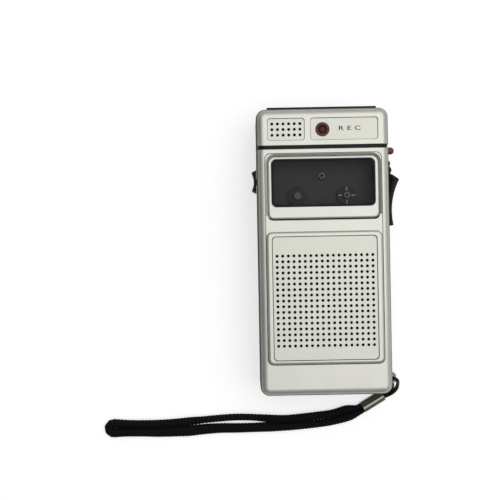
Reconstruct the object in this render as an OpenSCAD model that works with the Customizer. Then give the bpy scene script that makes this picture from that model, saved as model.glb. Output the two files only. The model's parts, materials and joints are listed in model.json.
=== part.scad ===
// Pocket dictation machine lying on its back, in millimetres.
// The origin is the centre of the flat back. +X is its right side, +Y its head end, +Z its front.

/* [Housing] */
// Width across the side walls
body_w = 71; // [68:0.5:78]
// Length from the foot end to the head end
body_l = 154; // [152:0.5:170]
// Thickness from the back to the front border
body_t = 31; // [30:0.5:36]
// Thickness of the moulded walls
wall = 2; // [1.6:0.1:2.4]
// Radius of the four upright corners
corner_r = 5; // [4.5:0.25:8]
// Rounding of the front edges
front_edge_r = 4; // [2:0.25:4.25]
// Rounding of the back edges
back_edge_r = 2.5; // [1:0.25:4]
// Height of the joint between rear and front shell
split_z = 14; // [13.5:0.25:15]

/* [Black band] */
// Length of the head end, from its end wall to the lower edge of the black band
cap_l = 21.9; // [20:0.1:24]
// Height of the band that shows
band_h = 2.15; // [1.5:0.05:4]
// How far the band lies below the housing's surface
band_inset = 0.4; // [0.1:0.05:0.8]
// Length of the sleeve that enters the head cap
sleeve_l = 1.8; // [1:0.1:2.4]

/* [Clearances] */
// Gap between fixed pieces that fit into each other
fit_gap = 0.1; // [0.05:0.01:0.15]
// Gap beside pieces that move
run_gap = 0.3; // [0.2:0.05:0.4]
// Radial clearance of shafts and pins in their bores
pin_gap = 0.03; // [0.02:0.01:0.06]

/* [Front panel] */
// Front border beside the inset panel
panel_side = 4.35; // [4.2:0.05:5]
// Front border below the panel
panel_foot = 17; // [16:0.25:18]
// Front border between the panel and the black band
panel_head = 2.3; // [2.2:0.05:2.6]
// Corner radius of the panel
panel_corner_r = 3.2; // [2:0.1:4]
// Depth of the panel's skirt
panel_t = 4; // [3.6:0.1:4.2]
// Thickness of the panel's face
panel_skin = 2; // [1.6:0.1:2.2]
// Gap around the panel
panel_gap = 0.25; // [0.1:0.05:0.4]
// Height of the raised frame around the loudspeaker grille
bezel_h = 1.4; // [0.4:0.1:1.6]
// Plain strip between the raised frame and the cassette door
plain_strip = 6.9; // [6:0.1:8]

/* [Loudspeaker grille] */
// Width of the raised frame beside the grille plate
frame_side = 3.4; // [2.5:0.1:4.5]
// Width of the raised frame below the grille plate
frame_foot = 2.5; // [2:0.1:4]
// Width of the raised frame above the grille plate
frame_head = 2.8; // [2:0.1:4]
// Gap around the grille plate
grille_gap = 0.35; // [0.1:0.05:0.4]
// Thickness of the grille plate
grille_t = 1.2; // [0.8:0.1:1.4]
// How far the plate lies below the raised frame
grille_drop = 0.3; // [0.1:0.05:0.6]
// Distance between holes
hole_pitch = 3; // [2.6:0.1:3]
// Hole diameter
hole_d = 1.6; // [1:0.1:1.8]
// Least plain margin beside the holes
hole_side = 2.2; // [2:0.1:6]
// Plain margin below the holes
hole_foot = 7.6; // [5:0.1:10]
// Least plain margin above the holes
hole_head = 10; // [5:0.1:14]

/* [Cassette door] */
// Panel beside the door
door_side = 1.4; // [1.35:0.05:1.6]
// Panel above the door
door_head = 1.4; // [1.35:0.05:1.6]
// Length of the door
door_l = 33.5; // [33.2:0.1:34]
// Door thickness
door_t = 2.4; // [2.2:0.1:2.6]
// How far the door lies below the housing's front
door_drop = 0.5; // [0.3:0.05:0.8]
// Corner radius at the lower edge
door_corner_r = 2.8; // [2:0.1:4]
// Corner radius at the upper edge
door_top_r = 4; // [2:0.1:5]
// Rounding of the door's edges
door_edge_r = 1; // [0.6:0.05:1]
// Gap around the door
door_gap = 0.2; // [0.2:0.05:0.3]
// Gap below the door, which lets its hinged edge swing
hinge_gap = 0.8; // [0.8:0.05:1]
// Slope of the recess around the door, measured across
recess_slope = 1.1; // [0.6:0.05:1.15]
// Silver rim beside the window
window_side = 1.85; // [1.8:0.05:3]
// Silver rim below the window
window_foot = 6.3; // [4:0.1:8]
// Silver rim above the window
window_head = 1.4; // [1.3:0.05:3]
// Corner radius of the window
window_r = 2.8; // [1:0.1:4]
// Thickness of the window pane
window_t = 1.1; // [0.8:0.05:1.4]
// Ledge that carries the pane
window_ledge = 0.8; // [0.5:0.05:1]
// Hinge pin diameter
hinge_pin_d = 1.2; // [1:0.05:1.3]
// Hinge pin length
hinge_pin_l = 2.7; // [2.4:0.05:2.75]

/* [Tape deck] */
// Distance between the reel spindles
spindle_gap = 26.9; // [26:0.1:27.5]
// Height of the spindles above the door's lower edge
spindle_up = 12.7; // [12:0.1:13.2]
// Diameter of the spindle discs
disc_d = 10.3; // [9:0.1:11]
// Thickness of the spindle discs
disc_t = 1.8; // [1.2:0.1:2.2]
// Spindle shaft diameter
shaft_d = 3; // [2.6:0.1:3.4]
// Height of the spindle hubs above their discs
hub_h = 3; // [2:0.1:3.2]
// Diameter of the pale hub on the supply side
supply_hub_d = 3.8; // [3.6:0.1:5]
// Diameter of the pale dog on the take-up side
dog_d = 3.2; // [2.6:0.1:4]
// Height of the chassis plate's lower face above the back
chassis_z = 14.5; // [14:0.1:15]
// Chassis plate thickness
chassis_t = 1.2; // [1:0.1:1.4]
// Space between the chassis plate and each side wall
chassis_side = 4.5; // [4.2:0.05:5]
// How far the chassis plate reaches below the door
chassis_foot = 3.4; // [3:0.1:3.8]
// Space between the chassis and the cassette well
deck_gap = 1.5; // [1.4:0.05:1.8]
// Wall thickness of the cassette well
well_wall = 1; // [0.8:0.05:1.1]
// How far the inside of the cassette well lies within the door's sides
well_inset = 1.45; // [1.35:0.05:1.6]
// Side of the square guide post
post_side = 3.3; // [2.5:0.1:4]
// Height of the guide post above the door's lower edge
post_up = 23.5; // [22:0.1:24]
// Height of the guide post
post_h = 4; // [2:0.1:5]

/* [Drive] */
// Motor diameter
motor_d = 18; // [16:0.5:19]
// Motor length
motor_l = 7.9; // [7:0.1:8]
// Motor's middle from the chassis plate's left edge
motor_side = 12; // [11.5:0.1:13]
// Motor's middle from the chassis plate's upper edge
motor_head = 11.5; // [11:0.1:12]
// Drive pulley's middle from the chassis plate's right edge
drive_side = 14; // [13:0.1:15]
// Drive pulley's middle from the chassis plate's upper edge
drive_head = 9.5; // [9:0.1:10]
// Outer diameter of the drive pulley's large step
drive_d = 16; // [14:0.25:16.5]
// Outer diameter of the drive pulley's small step
drive_hub_d = 6.8; // [6.4:0.1:7.4]
// Outer diameter of the motor pulley
motor_pulley_d = 5.2; // [5:0.1:6.5]
// Outer diameter of the take-up pulley
takeup_pulley_d = 11; // [9:0.25:11.5]
// Depth of the belt grooves
groove_depth = 0.8; // [0.6:0.05:0.9]
// Belt thickness
belt_t = 1; // [0.8:0.05:1.1]
// Belt height
belt_h = 1.2; // [1:0.05:1.4]
// Diameter of the fixed shaft under the drive pulley
pulley_shaft_d = 2; // [1.6:0.1:2.4]
// Diameter of the motor shaft
motor_shaft_d = 1.5; // [1.2:0.1:1.8]

/* [Heads] */
// Width of the sliding head plate
head_plate_w = 24; // [23:0.5:25]
// Thickness of the head plate
head_plate_t = 0.8; // [0.6:0.05:0.9]
// Width of the recording head
head_w = 7; // [5:0.25:8]
// Height of the heads
head_h = 5.6; // [4:0.1:5.8]
// Travel of the head plate towards the cassette
head_travel = 2.4; // [1.5:0.1:2.5]
// Travel of the head plate away from the cassette
head_back = 0.8; // [0.4:0.1:0.9]

/* [Controls] */
// Lower end of the thumb slide below the black band
thumb_drop = 41.5; // [40.6:0.1:42]
// Length of the thumb slide's scooped part
thumb_l = 27.9; // [26:0.1:28.5]
// Height of the thumb slide's crest
thumb_crest = 6.2; // [4:0.1:7]
// Width of the slides across the side wall
slide_w = 9.6; // [7:0.1:9.8]
// Middle of the side controls above the back
control_z = 20.5; // [20:0.1:20.8]
// Thumb slide travel towards the foot end
thumb_down = 6; // [3:0.25:6]
// Thumb slide travel towards the head end
thumb_up = 2; // [1:0.25:2]
// Middle of the volume slide below the black band
volume_drop = 16.5; // [16.3:0.1:18]
// Length of the volume slide at its base
volume_l = 12.6; // [10:0.1:13]
// Height of the volume slide
volume_h = 2.8; // [2:0.1:4]
// Volume slide travel to each side
volume_travel = 4; // [2:0.25:4]
// Middle of the record button below the black band
button_drop = 0.75; // [0.7:0.05:2.3]
// Record button diameter
button_d = 4; // [3:0.1:4]
// How far the record button stands out
button_h = 4.2; // [2.5:0.1:4.5]
// Record button travel
button_travel = 1.8; // [1:0.1:1.8]

/* [Head panels] */
// Border between the black band and the two head panels
head_panel_foot = 2.55; // [2.3:0.05:3.2]
// Height of the head panels
head_panel_h = 11.9; // [11:0.1:12.5]
// Depth of the head panels below the front
head_panel_drop = 0.6; // [0.3:0.05:0.8]
// Head panel thickness
head_panel_t = 0.8; // [0.6:0.05:1]
// Gap around the head panels
head_panel_gap = 0.2; // [0.1:0.05:0.3]
// Border beside the microphone panel
mic_side = 6; // [5.9:0.1:7]
// Border between the two head panels
panel_space = 3; // [2:0.1:4]
// Left edge of the record panel from the lamp's middle
record_left = 6.5; // [6:0.1:7]
// Border beside the record panel
record_side = 5.8; // [5.6:0.1:7]
// Lamp's middle above the record panel's lower edge
lamp_up = 5.7; // [5.2:0.1:6.2]
// Diameter of the lamp's outer ring
lamp_d = 7.4; // [6.6:0.1:8]
// Diameter of the lamp's core
led_d = 4.6; // [3:0.1:5]
// Microphone capsule diameter
capsule_d = 9.7; // [6:0.1:10]

/* [Sockets] */
// Wall beside the black socket strip on the head end
strip_side = 6; // [5.5:0.5:10]
// Height of the socket strip
strip_w = 18.8; // [16:0.1:19]
// Middle of the socket strip above the back
strip_z = 17.5; // [15.5:0.1:17.6]
// How far the strip stands out
strip_t = 1.1; // [0.4:0.05:1.5]
// Middle of the sockets above the back
socket_z = 13; // [12:0.1:13.5]
// Earphone socket's middle from the right end of the strip
ear_side = 13.5; // [9.5:0.5:17.5]
// Earphone socket bore
ear_bore_d = 3.56; // [3.5:0.01:3.6]
// Remote socket's middle from the left end of the strip
remote_side = 13.5; // [9.5:0.5:17.5]
// Remote socket bore
remote_bore_d = 2.56; // [2.5:0.01:2.6]
// Depth of the socket bodies behind the wall
socket_l = 10.5; // [8:0.5:12]

/* [Batteries] */
// Cell diameter
cell_d = 14.4; // [14:0.1:14.5]
// Cell length
cell_l = 50.5; // [49:0.1:50.5]
// Width of the battery door
battery_door_w = 48; // [46:0.5:49]
// Height of the battery door's end wall
battery_end_h = 12; // [10:0.25:12.5]
// Thickness of the contact plates
contact_t = 0.6; // [0.4:0.05:0.8]
// How far the battery door slides before it lifts off
battery_travel = 6; // [3:0.25:6]

/* [Loudspeaker] */
// Loudspeaker diameter
speaker_d = 50; // [46:0.5:52]
// Depth of the loudspeaker basket
basket_l = 8.5; // [7:0.1:9]
// Magnet diameter
magnet_d = 24; // [20:0.5:26]

/* [Board] */
// Space between the circuit board and each side wall
board_side = 4.5; // [3.5:0.1:5.5]
// Space between the battery wall and the circuit board
board_foot = 1.7; // [1.4:0.1:3]
// Space between the circuit board and the chassis plate
board_head = 2; // [1.5:0.1:4]
// Height of the board's lower face above the back
board_z = 10.4; // [8:0.1:10.6]
// Board thickness
board_t = 1.6; // [1:0.1:1.6]

/* [Fasteners] */
// Housing screw diameter
screw_d = 2; // [1.6:0.1:2.2]
// Housing screw head diameter
screw_head_d = 3.6; // [3:0.1:3.8]
// Boss diameter around the housing screws
boss_d = 4.6; // [4.4:0.1:4.8]

/* [Wrist strap] */
// Rod diameter of the strap staple
staple_rod_d = 1.7; // [1.4:0.1:2]
// How far the staple stands out
staple_out = 5; // [4.5:0.1:5.2]
// Distance between the staple's legs
staple_span = 4.8; // [4.4:0.1:5.4]
// Middle of the staple from the foot end
staple_from_end = 6; // [5.8:0.1:6.5]
// Height of the staple above the back
staple_z = 10; // [9.5:0.1:10.5]
// Cord diameter
cord_d = 4.2; // [3.6:0.1:4.3]
// Leader loop diameter
leader_d = 2; // [1.6:0.1:2.1]
// Ferrule length
ferrule_l = 13.4; // [13.2:0.1:13.6]
// Ferrule width
ferrule_w = 6.2; // [6:0.1:7]
// Ferrule height
ferrule_h = 4.4; // [4.2:0.1:5.5]

/* [Hidden] */

$fn = 48;
hole_fn = 24;
// How far a cut runs past a face, and how far joined shapes sink into each other
past = 1;
fuse = 0.2;

// Housing
half_w = body_w / 2;
foot_y = -body_l / 2;
head_y = body_l / 2;
front_z = body_t;
inner_x = half_w - wall;
inner_corner_r = corner_r - wall;
band_y = head_y - cap_l;
band_top_y = band_y + band_h;
lip_t = 0.8;
lip_h = 1.2;
lip_root = 1.5;

// Front panel and its seat
panel_w = body_w - 2 * panel_side;
panel_bottom_y = foot_y + panel_foot;
panel_top_y = band_y - panel_head;
panel_l = panel_top_y - panel_bottom_y;
panel_y = (panel_top_y + panel_bottom_y) / 2;
panel_z0 = front_z - panel_t;
panel_skirt = 1.2;
ledge_w = 0.9;
ledge_t = 1.5;
door_w = panel_w - 2 * door_side;
door_top_y = panel_top_y - door_head;
door_bottom_y = door_top_y - door_l;
bezel_top_y = door_bottom_y - plain_strip;
bezel_z = front_z + bezel_h;
grille_w = panel_w - 2 * frame_side;
grille_y0 = panel_bottom_y + frame_foot;
grille_l = bezel_top_y - frame_head - grille_y0;
grille_y = grille_y0 + grille_l / 2;
hole_cols = floor((grille_w - 2 * hole_side) / hole_pitch) + 1;
hole_rows = floor((grille_l - hole_foot - hole_head) / hole_pitch) + 1;
holes_y = grille_y0 + hole_foot + (hole_rows - 1) * hole_pitch / 2;
grille_z1 = bezel_z - grille_drop;
grille_z0 = grille_z1 - grille_t;
panel_under_z = front_z - panel_skin;
grille_corner_r = 2;
cloth_t = 0.4;
cloth_z0 = grille_z0 - cloth_t;
cloth_margin = 1;
cloth_w = (hole_cols - 1) * hole_pitch + hole_d + 2 * cloth_margin;
cloth_l = (hole_rows - 1) * hole_pitch + hole_d + 2 * cloth_margin;

// Cassette door
door_z1 = front_z - door_drop;
door_z0 = door_z1 - door_t;
door_mid_y = (door_bottom_y + door_top_y) / 2;
hinge_y = door_bottom_y + door_t / 2;
hinge_z = door_z0 + door_t / 2;
door_open_w = door_w + 2 * door_gap;
door_open_y0 = door_bottom_y - hinge_gap;
door_open_y1 = door_top_y + door_gap;
door_open_r = door_top_r + door_gap;
recess_step = 0.3;
recess_depth = door_drop + recess_step;
window_drop = 0.1;
window_w = door_w - 2 * window_side;
window_bottom_y = door_bottom_y + window_foot;
window_top_y = door_top_y - window_head;
window_z1 = door_z1 - window_drop;
window_z0 = window_z1 - window_t;
window_l = window_top_y - window_bottom_y;
window_y = (window_top_y + window_bottom_y) / 2;
pin_in_door = 1.55;
pin_x0 = door_w / 2 - pin_in_door;
tongue_w = 6;
tongue_t = 1;
tongue_h = 1.7;
tongue_set = 0.8;
tongue_y1 = door_top_y - tongue_set;
tongue_side = 6.75;
tongue_x1 = door_w / 2 - tongue_side;
tongue_x0 = tongue_x1 - tongue_w;
catch_lift = 2;

// Cassette well and chassis
chassis_w = 2 * (inner_x - chassis_side);
chassis_y = door_bottom_y - chassis_foot;
chassis_top = chassis_z + chassis_t;
chassis_y1 = band_y - fit_gap;
well_z0 = chassis_top + deck_gap;
well_floor = well_z0 + well_wall;
well_z1 = panel_z0;
well_y0 = door_bottom_y + fit_gap;
well_y1 = door_top_y - fit_gap;
well_w = door_w - 2 * well_inset;
well_outer_w = well_w + 2 * well_wall;
ledge_y0 = panel_bottom_y + ledge_w;
ledge_y1 = max(panel_top_y - ledge_w, well_y1 + well_wall + fit_gap);
ledge_r = 1.5;
spindle_x = spindle_gap / 2;
spindle_y = door_bottom_y + spindle_up;
post_y = door_bottom_y + post_up;
collar_w = 0.9;
collar_r = shaft_d / 2 + collar_w;
collar_gap = 0.1;
collar_clear = 0.5;
bush_wall = 1.1;
bush_r = shaft_d / 2 + bush_wall;
bush_flange_w = 1;
bush_flange_r = bush_r + bush_flange_w;
bush_drop = 0.2;
bush_top = well_z0 - bush_drop;
bush_below = 2;
bush_flange_t = 0.6;
ring_t = 1;
ring_z = chassis_z - bush_below - run_gap - ring_t;
hub_chamfer = 0.6;
dog_fin_t = 0.7;
dog_fin_h = 0.8;
dog_fin_root = 0.4;
dog_fin_end = 0.6;
disc_gap = 0.4;
disc_z0 = well_floor + disc_gap;
disc_z1 = disc_z0 + disc_t;
post_turn = 30;

// Posts and pads that carry the chassis, the well and the circuit board
foot_pad_d = 5;
pad_below = 6.6;
pad_above = 13.4;
post_inset = 3;
switch_inset = 5.6;
chassis_post_set = 2.6;
board_post_set = 3.5;
pad_x = chassis_w / 2 - post_inset;
foot_points = [for (x = [-pad_x, pad_x], y = [spindle_y - pad_below, spindle_y + pad_above]) [x, y]];
chassis_low_y = chassis_y + chassis_post_set;
chassis_high_y = chassis_y1 - chassis_post_set;
chassis_posts = [
  [-pad_x, chassis_low_y], [pad_x, chassis_low_y],
  [-pad_x, chassis_high_y], [chassis_w / 2 - switch_inset, chassis_high_y]
];
post_d = 4.4;
small_screw_d = 1.6;
small_head_d = 3;
small_head_h = 0.9;
small_screw_l = 5;

// Belts and pulleys, counted from the inside of the back
back_gap = 1.2;
step_h = 3;
flange_gap = 0.3;
belt_seat = 0.1;
step_gap = 0.2;
shoulder_w = 0.8;
motor_x = motor_side - chassis_w / 2;
motor_y = chassis_y1 - motor_head;
drive_x = chassis_w / 2 - drive_side;
drive_y = chassis_y1 - drive_head;
drive_z0 = wall + back_gap;
belt_low_z = drive_z0 + step_h / 2;
belt_high_z = belt_low_z + step_h + step_gap;
drive_z1 = belt_high_z + step_h / 2;
groove_h = belt_h + 2 * flange_gap;
motor_z0 = chassis_z - motor_l;

// Heads
head_plate_z = chassis_top + run_gap;
head_tab_set = 1.5;
head_tab_y = band_y - head_tab_set;
head_tab_t = 0.8;
head_proud = 0.3;
head_front_y = well_y1 - head_proud;
head_lift = 1;
head_z = well_floor + head_lift;
head_plate_l = 8.6;
head_plate_y0 = head_tab_y - head_plate_l;
guide_pin_d = 2;
guide_pin_x = 9;
guide_pin_set = 4.6;
guide_pin_y = head_tab_y - guide_pin_set;
erase_x = 9;
erase_w = 4;
notch_gap = 1;
notch_w = head_plate_w + 2 * notch_gap;
notch_y0 = min(head_tab_y - head_travel - run_gap, well_y1 - fit_gap);

// Side controls
thumb_low_y = band_y - thumb_drop;
thumb_high_y = thumb_low_y + thumb_l;
crest_set = 2.9;
crest_y = thumb_high_y - crest_set;
scoop_r = 36.6;
scoop_floor = 1.9;
scoop_x = scoop_r + scoop_floor;
scoop_set = 7.8;
scoop_y = thumb_low_y + scoop_set;
stem_set = 12.4;
thumb_stem_y0 = thumb_low_y + stem_set;
thumb_stem_l = 10;
stem_w = 4;
stem_in = 2;
control_end = 0.8;
scoop_flare = 3.2;
ridge_h = 2.1;
ridge_l = 7.1;
bump_r = 1.9;
bump_sink = 0.5;
bump_set = 1.5;
volume_taper = 1.3;
volume_y = band_y - volume_drop;
volume_tip = volume_l - 2 * volume_taper;
volume_scoop = 1.2;
volume_scoop_r = 10.5;
volume_stem_l = 3;
control_depth = 3.4;
control_h = 8;
volume_slot_l = volume_stem_l + 2 * volume_travel + 2 * run_gap;
thumb_slot_y0 = thumb_stem_y0 - thumb_down - run_gap;
thumb_slot_l = thumb_stem_l + thumb_down + thumb_up + 2 * run_gap;
button_y = band_y - button_drop;
button_hole_gap = 0.1;
button_flange_w = 0.7;
button_flange_r = button_d / 2 + button_flange_w;
button_flange_t = 0.8;
switch_l = 4;

// Head panels and what lies behind them
head_panel_z1 = front_z - head_panel_drop;
head_panel_z0 = head_panel_z1 - head_panel_t;
head_panel_y = band_top_y + head_panel_foot;
head_panel_mid_y = head_panel_y + head_panel_h / 2;
lamp_y = head_panel_y + lamp_up;
record_x = -record_left;
record_w = half_w - record_side - record_x;
mic_x = mic_side - half_w;
mic_w = record_x - panel_space - mic_x;
head_panel_r = 1.5;
panel_rim = 1.5;
mic_mid_x = mic_x + mic_w / 2;
record_mid_x = record_x + record_w / 2;
head_board_z = 20;
head_board_t = 1.4;
head_board_side = 5.5;
head_board_w = 2 * (inner_x - head_board_side);
head_board_l = 13;
head_post_set = 4;
head_post_x = head_board_w / 2 - head_post_set;
head_posts = [[-head_post_x, head_panel_mid_y], [head_post_x, head_panel_mid_y]];
mic_margin = 2.3;
mic_cols = floor((mic_w - 2 * mic_margin) / hole_pitch) + 1;
mic_rows = floor((head_panel_h - 2 * mic_margin) / hole_pitch) + 1;
sleeve_wall = 1.3;
capsule_l = 6;
lamp_proud = 0.3;
lamp_flange_w = 0.5;
lamp_flange_t = 0.8;
led_body_l = 5;
led_dome_r = 0.7 * led_d;
led_sink = 0.8;
led_base_z = head_panel_z1 - led_sink;

// Sockets
jack_nose_r = 2.6;
jack_w = 7.2;
jack_floor = 1.2;
strip_l = body_w - 2 * strip_side;
ear_x = strip_l / 2 - ear_side;
remote_x = remote_side - strip_l / 2;
strip_r = 1;

// Batteries
cell_gap = 0.5;
cell_pitch = cell_d + cell_gap;
contact_gap = 0.4;
cell_y0 = foot_y + wall + contact_t + contact_gap;
cell_y1 = cell_y0 + cell_l;
cell_z = wall + run_gap + cell_d / 2;
nub_d = 5;
nub_l = 1.2;
divider_t = 1.3;
divider_y0 = cell_y1 + contact_t + contact_gap;
contact_w = 8;
divider_h = split_z - 2 * fit_gap - wall;
battery_end_gap = 0.5;
board_w = 2 * (inner_x - board_side);
board_y0 = divider_y0 + divider_t + board_foot;
board_y1 = chassis_y - board_head;
board_x = board_w / 2 - post_inset;
board_posts = [
  for (x = [-board_x, board_x], y = [board_y0 + board_post_set, board_y1 - board_post_set]) [x, y]
];
battery_door_y1 = divider_y0 - battery_end_gap;
rail_w = 1.2;
rail_t = 1.2;
rail_y0 = foot_y + wall + battery_travel + run_gap;
rail_y1 = battery_door_y1 - rail_w;

// Loudspeaker
speaker_y = holes_y;
speaker_z1 = panel_under_z;
flange_t = 1.2;
flange_w = 4;
basket_z0 = speaker_z1 - basket_l;
basket_t = 1;
basket_rim_r = speaker_d / 2 - flange_w;
centre_hole_r = 2.5;
sound_margin = 2;
sound_hole_d = min(2 * (basket_rim_r + sound_margin), cloth_w - 2 * cloth_margin, cloth_l - 2 * cloth_margin);
magnet_z0 = cell_z + cell_d / 2 + cell_gap;
cone_t = 0.5;
cone_low_r = 6;
cone_rim_w = 1;
cone_lift = 2.6;

// Housing screws
boss_sink = 0.7;
boss_from_band = 7.1;
boss_from_foot = 19;
boss_x = inner_x - boss_d / 2 + boss_sink;
boss_points = [
  for (x = [-boss_x, boss_x], y = [band_y - boss_from_band, foot_y + boss_from_foot]) [x, y]
];
screw_head_z = 1;
screw_head_h = 1.4;
screw_l = 16;
cross_w = 0.5;
cross_margin = 0.65;
cross_l = screw_head_d - 2 * cross_margin;
boss_top = panel_z0 - ledge_t + fuse;
thread_gap = 0.02;

// Components on the circuit board: place as a share of the board's half width and half length
// from its middle, then width, length and height
chips = [
  [-0.07, -0.03, 12, 8, 2.4], [0.45, -0.47, 8, 6, 3], [0.48, 0.53, 8, 6, 2],
  for (i = [0 : 3]) [-0.66 + 0.14 * i, -0.56, 2, 3, 1.2]
];
cans = [[-0.66, 0.53], [-0.45, 0.53]];
can_d = 5;
can_h = 2.8;

// Wrist strap
staple_x = half_w + staple_out - staple_rod_d / 2;
staple_y = foot_y + staple_from_end;
staple_bend = 1.6;
staple_root = 3.2;
ferrule_angle = 31;
ferrule_at = [28.2, -85.3];
ferrule_lift = 0.1;
ferrule_fold = 0.8;
cord_sides = 8;
leader_points = [
  [34.5, -82.8, 2.4], [36.8, -81.8, 2.8], [39, -80.4, 4], [40.5, -78.6, 5.6], [41.3, -76.6, 7.4],
  [41.4, -74.4, 9.4], [40.9, -72.6, 11.4], [39.6, -71.4, 12.3], [38, -71, 11.7], [37.2, -71, 10.2],
  [37.4, -71.4, 8.6], [38.2, -72.4, 7.2], [38.9, -74.4, 6], [39, -76.8, 4.8], [37.9, -78.6, 3.8],
  [36, -79.4, 2.9], [33.4, -80.9, 2.4]
];
cord_z = 2.2;
cord_route = [
  [21.7, -87.5], [19.1, -89], [13.4, -89.8], [5, -92], [-4, -93.1], [-13, -94], [-22, -94.6],
  [-31, -94.1], [-40, -93.3], [-49, -93], [-58, -93.4], [-67, -94.1], [-76, -95], [-85, -95.8],
  [-94, -96.2], [-103, -96.2], [-110, -96], [-116, -95.7], [-119.1, -95.6], [-120.9, -96.4],
  [-121.7, -98.2], [-120.9, -100], [-119.1, -100.8], [-116, -100.7], [-110, -100.7], [-103, -100.8],
  [-94, -101], [-85, -100.8], [-76, -100.4], [-67, -99.6], [-58, -99.2], [-49, -99.3], [-40, -99.2],
  [-31, -99], [-22, -99], [-13, -98.4], [-4, -97.6], [5, -96.4], [15, -93.9], [20.6, -91.5],
  [23.2, -90]
];
cord_points = [for (p = cord_route) [p[0], p[1], cord_z]];
cord_pinch = 0.68;
pinched_rings = 2;

// Plan of a plate with round corners
module round_rect(w, l, r) {
  square([w - 2 * r, l], center = true);
  square([w, l - 2 * r], center = true);
  for (x = [-1, 1], y = [-1, 1])
    translate([x * (w / 2 - r), y * (l / 2 - r)])
      circle(r);
}

// Section of a block from height 0 to h with round upper and lower edges
module edge_profile(w, h, top_r, bottom_r) {
  translate([-w / 2, bottom_r])
    square([w, h - top_r - bottom_r]);
  translate([-w / 2 + top_r, h / 2])
    square([w - 2 * top_r, h / 2]);
  translate([-w / 2 + bottom_r, 0])
    square([w - 2 * bottom_r, h / 2]);
  for (side = [-1, 1]) {
    if (top_r > 0)
      translate([side * (w / 2 - top_r), h - top_r])
        circle(top_r);
    if (bottom_r > 0)
      translate([side * (w / 2 - bottom_r), bottom_r])
        circle(bottom_r);
  }
}

// Quarter-rounded corner post of such a block
module corner_puck(r, h, top_r, bottom_r) {
  rotate_extrude()
    intersection() {
      edge_profile(2 * r, h, top_r, bottom_r);
      square([r + past, h + past]);
    }
}

// Block whose far end at y = -l has corners of radius r and whose near end at y = 0 is flat
module end_block(w, l, h, r, top_r, bottom_r) {
  rotate([90, 0, 0])
    linear_extrude(l - r)
      edge_profile(w, h, top_r, bottom_r);
  translate([0, -l + 1.5 * r, 0])
    rotate([90, 0, 90])
      linear_extrude(w - 2 * r, center = true)
        edge_profile(3 * r, h, top_r, bottom_r);
  for (side = [-1, 1])
    translate([side * (w / 2 - r), -l + r, 0])
      corner_puck(r, h, top_r, bottom_r);
}

// Plan with one corner radius at its lower edge and another at its upper edge
module two_radius_plan(w, y0, y1, low_r, high_r) {
  half_l = (y1 - y0) / 2;
  translate([-w / 2, y0 + low_r])
    square([w, y1 - y0 - low_r - high_r]);
  translate([-w / 2 + low_r, y0])
    square([w - 2 * low_r, half_l]);
  translate([-w / 2 + high_r, y0 + half_l])
    square([w - 2 * high_r, half_l]);
  for (side = [-1, 1]) {
    translate([side * (w / 2 - low_r), y0 + low_r])
      circle(low_r);
    translate([side * (w / 2 - high_r), y1 - high_r])
      circle(high_r);
  }
}

// Plate lying flat between two heights
module slab(w, l, r, z0, z1) {
  translate([0, 0, z0])
    linear_extrude(z1 - z0)
      round_rect(w, l, r);
}

// Box given by its two corners
module box(low, high) {
  translate(low)
    cube(high - low);
}

// Upright cylinder at a place between two heights
module post(at, d, z0, z1) {
  translate([at[0], at[1], z0])
    cylinder(d = d, h = z1 - z0);
}

// Cylinder along +X from x0 to x1
module rod_x(x0, x1, y, z, d) {
  translate([x0, y, z])
    rotate([0, 90, 0])
      cylinder(d = d, h = x1 - x0);
}

// Cylinder along +Y from y0 to y1
module rod_y(x, y0, y1, z, d) {
  translate([x, y0, z])
    rotate([-90, 0, 0])
      cylinder(d = d, h = y1 - y0);
}

// Field of round holes around the origin
module hole_field(cols, rows) {
  for (i = [0 : cols - 1], j = [0 : rows - 1])
    translate([hole_pitch * (i - (cols - 1) / 2), hole_pitch * (j - (rows - 1) / 2)])
      circle(d = hole_d, $fn = hole_fn);
}

// Shared shape of the rear shell and the battery door
module rear_outer() {
  translate([0, band_y, 0])
    end_block(body_w, band_y - foot_y, split_z, corner_r, 0, back_edge_r);
}

// Space that the battery door fills, widened by a gap
module battery_door_space(gap) {
  box([-battery_door_w / 2 - gap, foot_y - past, -past],
      [battery_door_w / 2 + gap, battery_door_y1 + gap, battery_end_h + gap]);
}

// Inside plan of the housing below the band
module inner_plan(inset) {
  w = 2 * (inner_x - inset);
  l = band_y - foot_y - wall - inset + corner_r;
  translate([0, foot_y + wall + inset + l / 2])
    round_rect(w, l, inner_corner_r);
}

// Housing

module front_shell() {
  color("silver")
    difference() {
      union() {
        difference() {
          translate([0, band_y, split_z])
            end_block(body_w, band_y - foot_y, front_z - split_z, corner_r, front_edge_r, 0);
          translate([0, 0, split_z - past])
            linear_extrude(front_z - wall - split_z + past)
              inner_plan(0);
        }
        panel_collar();
        for (p = boss_points)
          post(p, boss_d, split_z, boss_top);
      }
      translate([0, panel_y, 0])
        slab(panel_w + 2 * panel_gap, panel_l + 2 * panel_gap, panel_corner_r, panel_z0, front_z + past);
      translate([0, (ledge_y0 + ledge_y1) / 2, 0])
        slab(panel_w - 2 * ledge_w, ledge_y1 - ledge_y0, ledge_r, split_z, front_z + past);
      for (p = boss_points)
        post(p, screw_d + 2 * thread_gap, split_z - past, screw_head_z + screw_l + past);
      slide_slots();
    }
}

// Seat of the front panel under the front border
module panel_collar() {
  side = inner_x + fuse;
  box([-side, panel_bottom_y - 2 * ledge_w, panel_z0 - ledge_t],
      [side, band_y, front_z - wall + fuse]);
}

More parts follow.
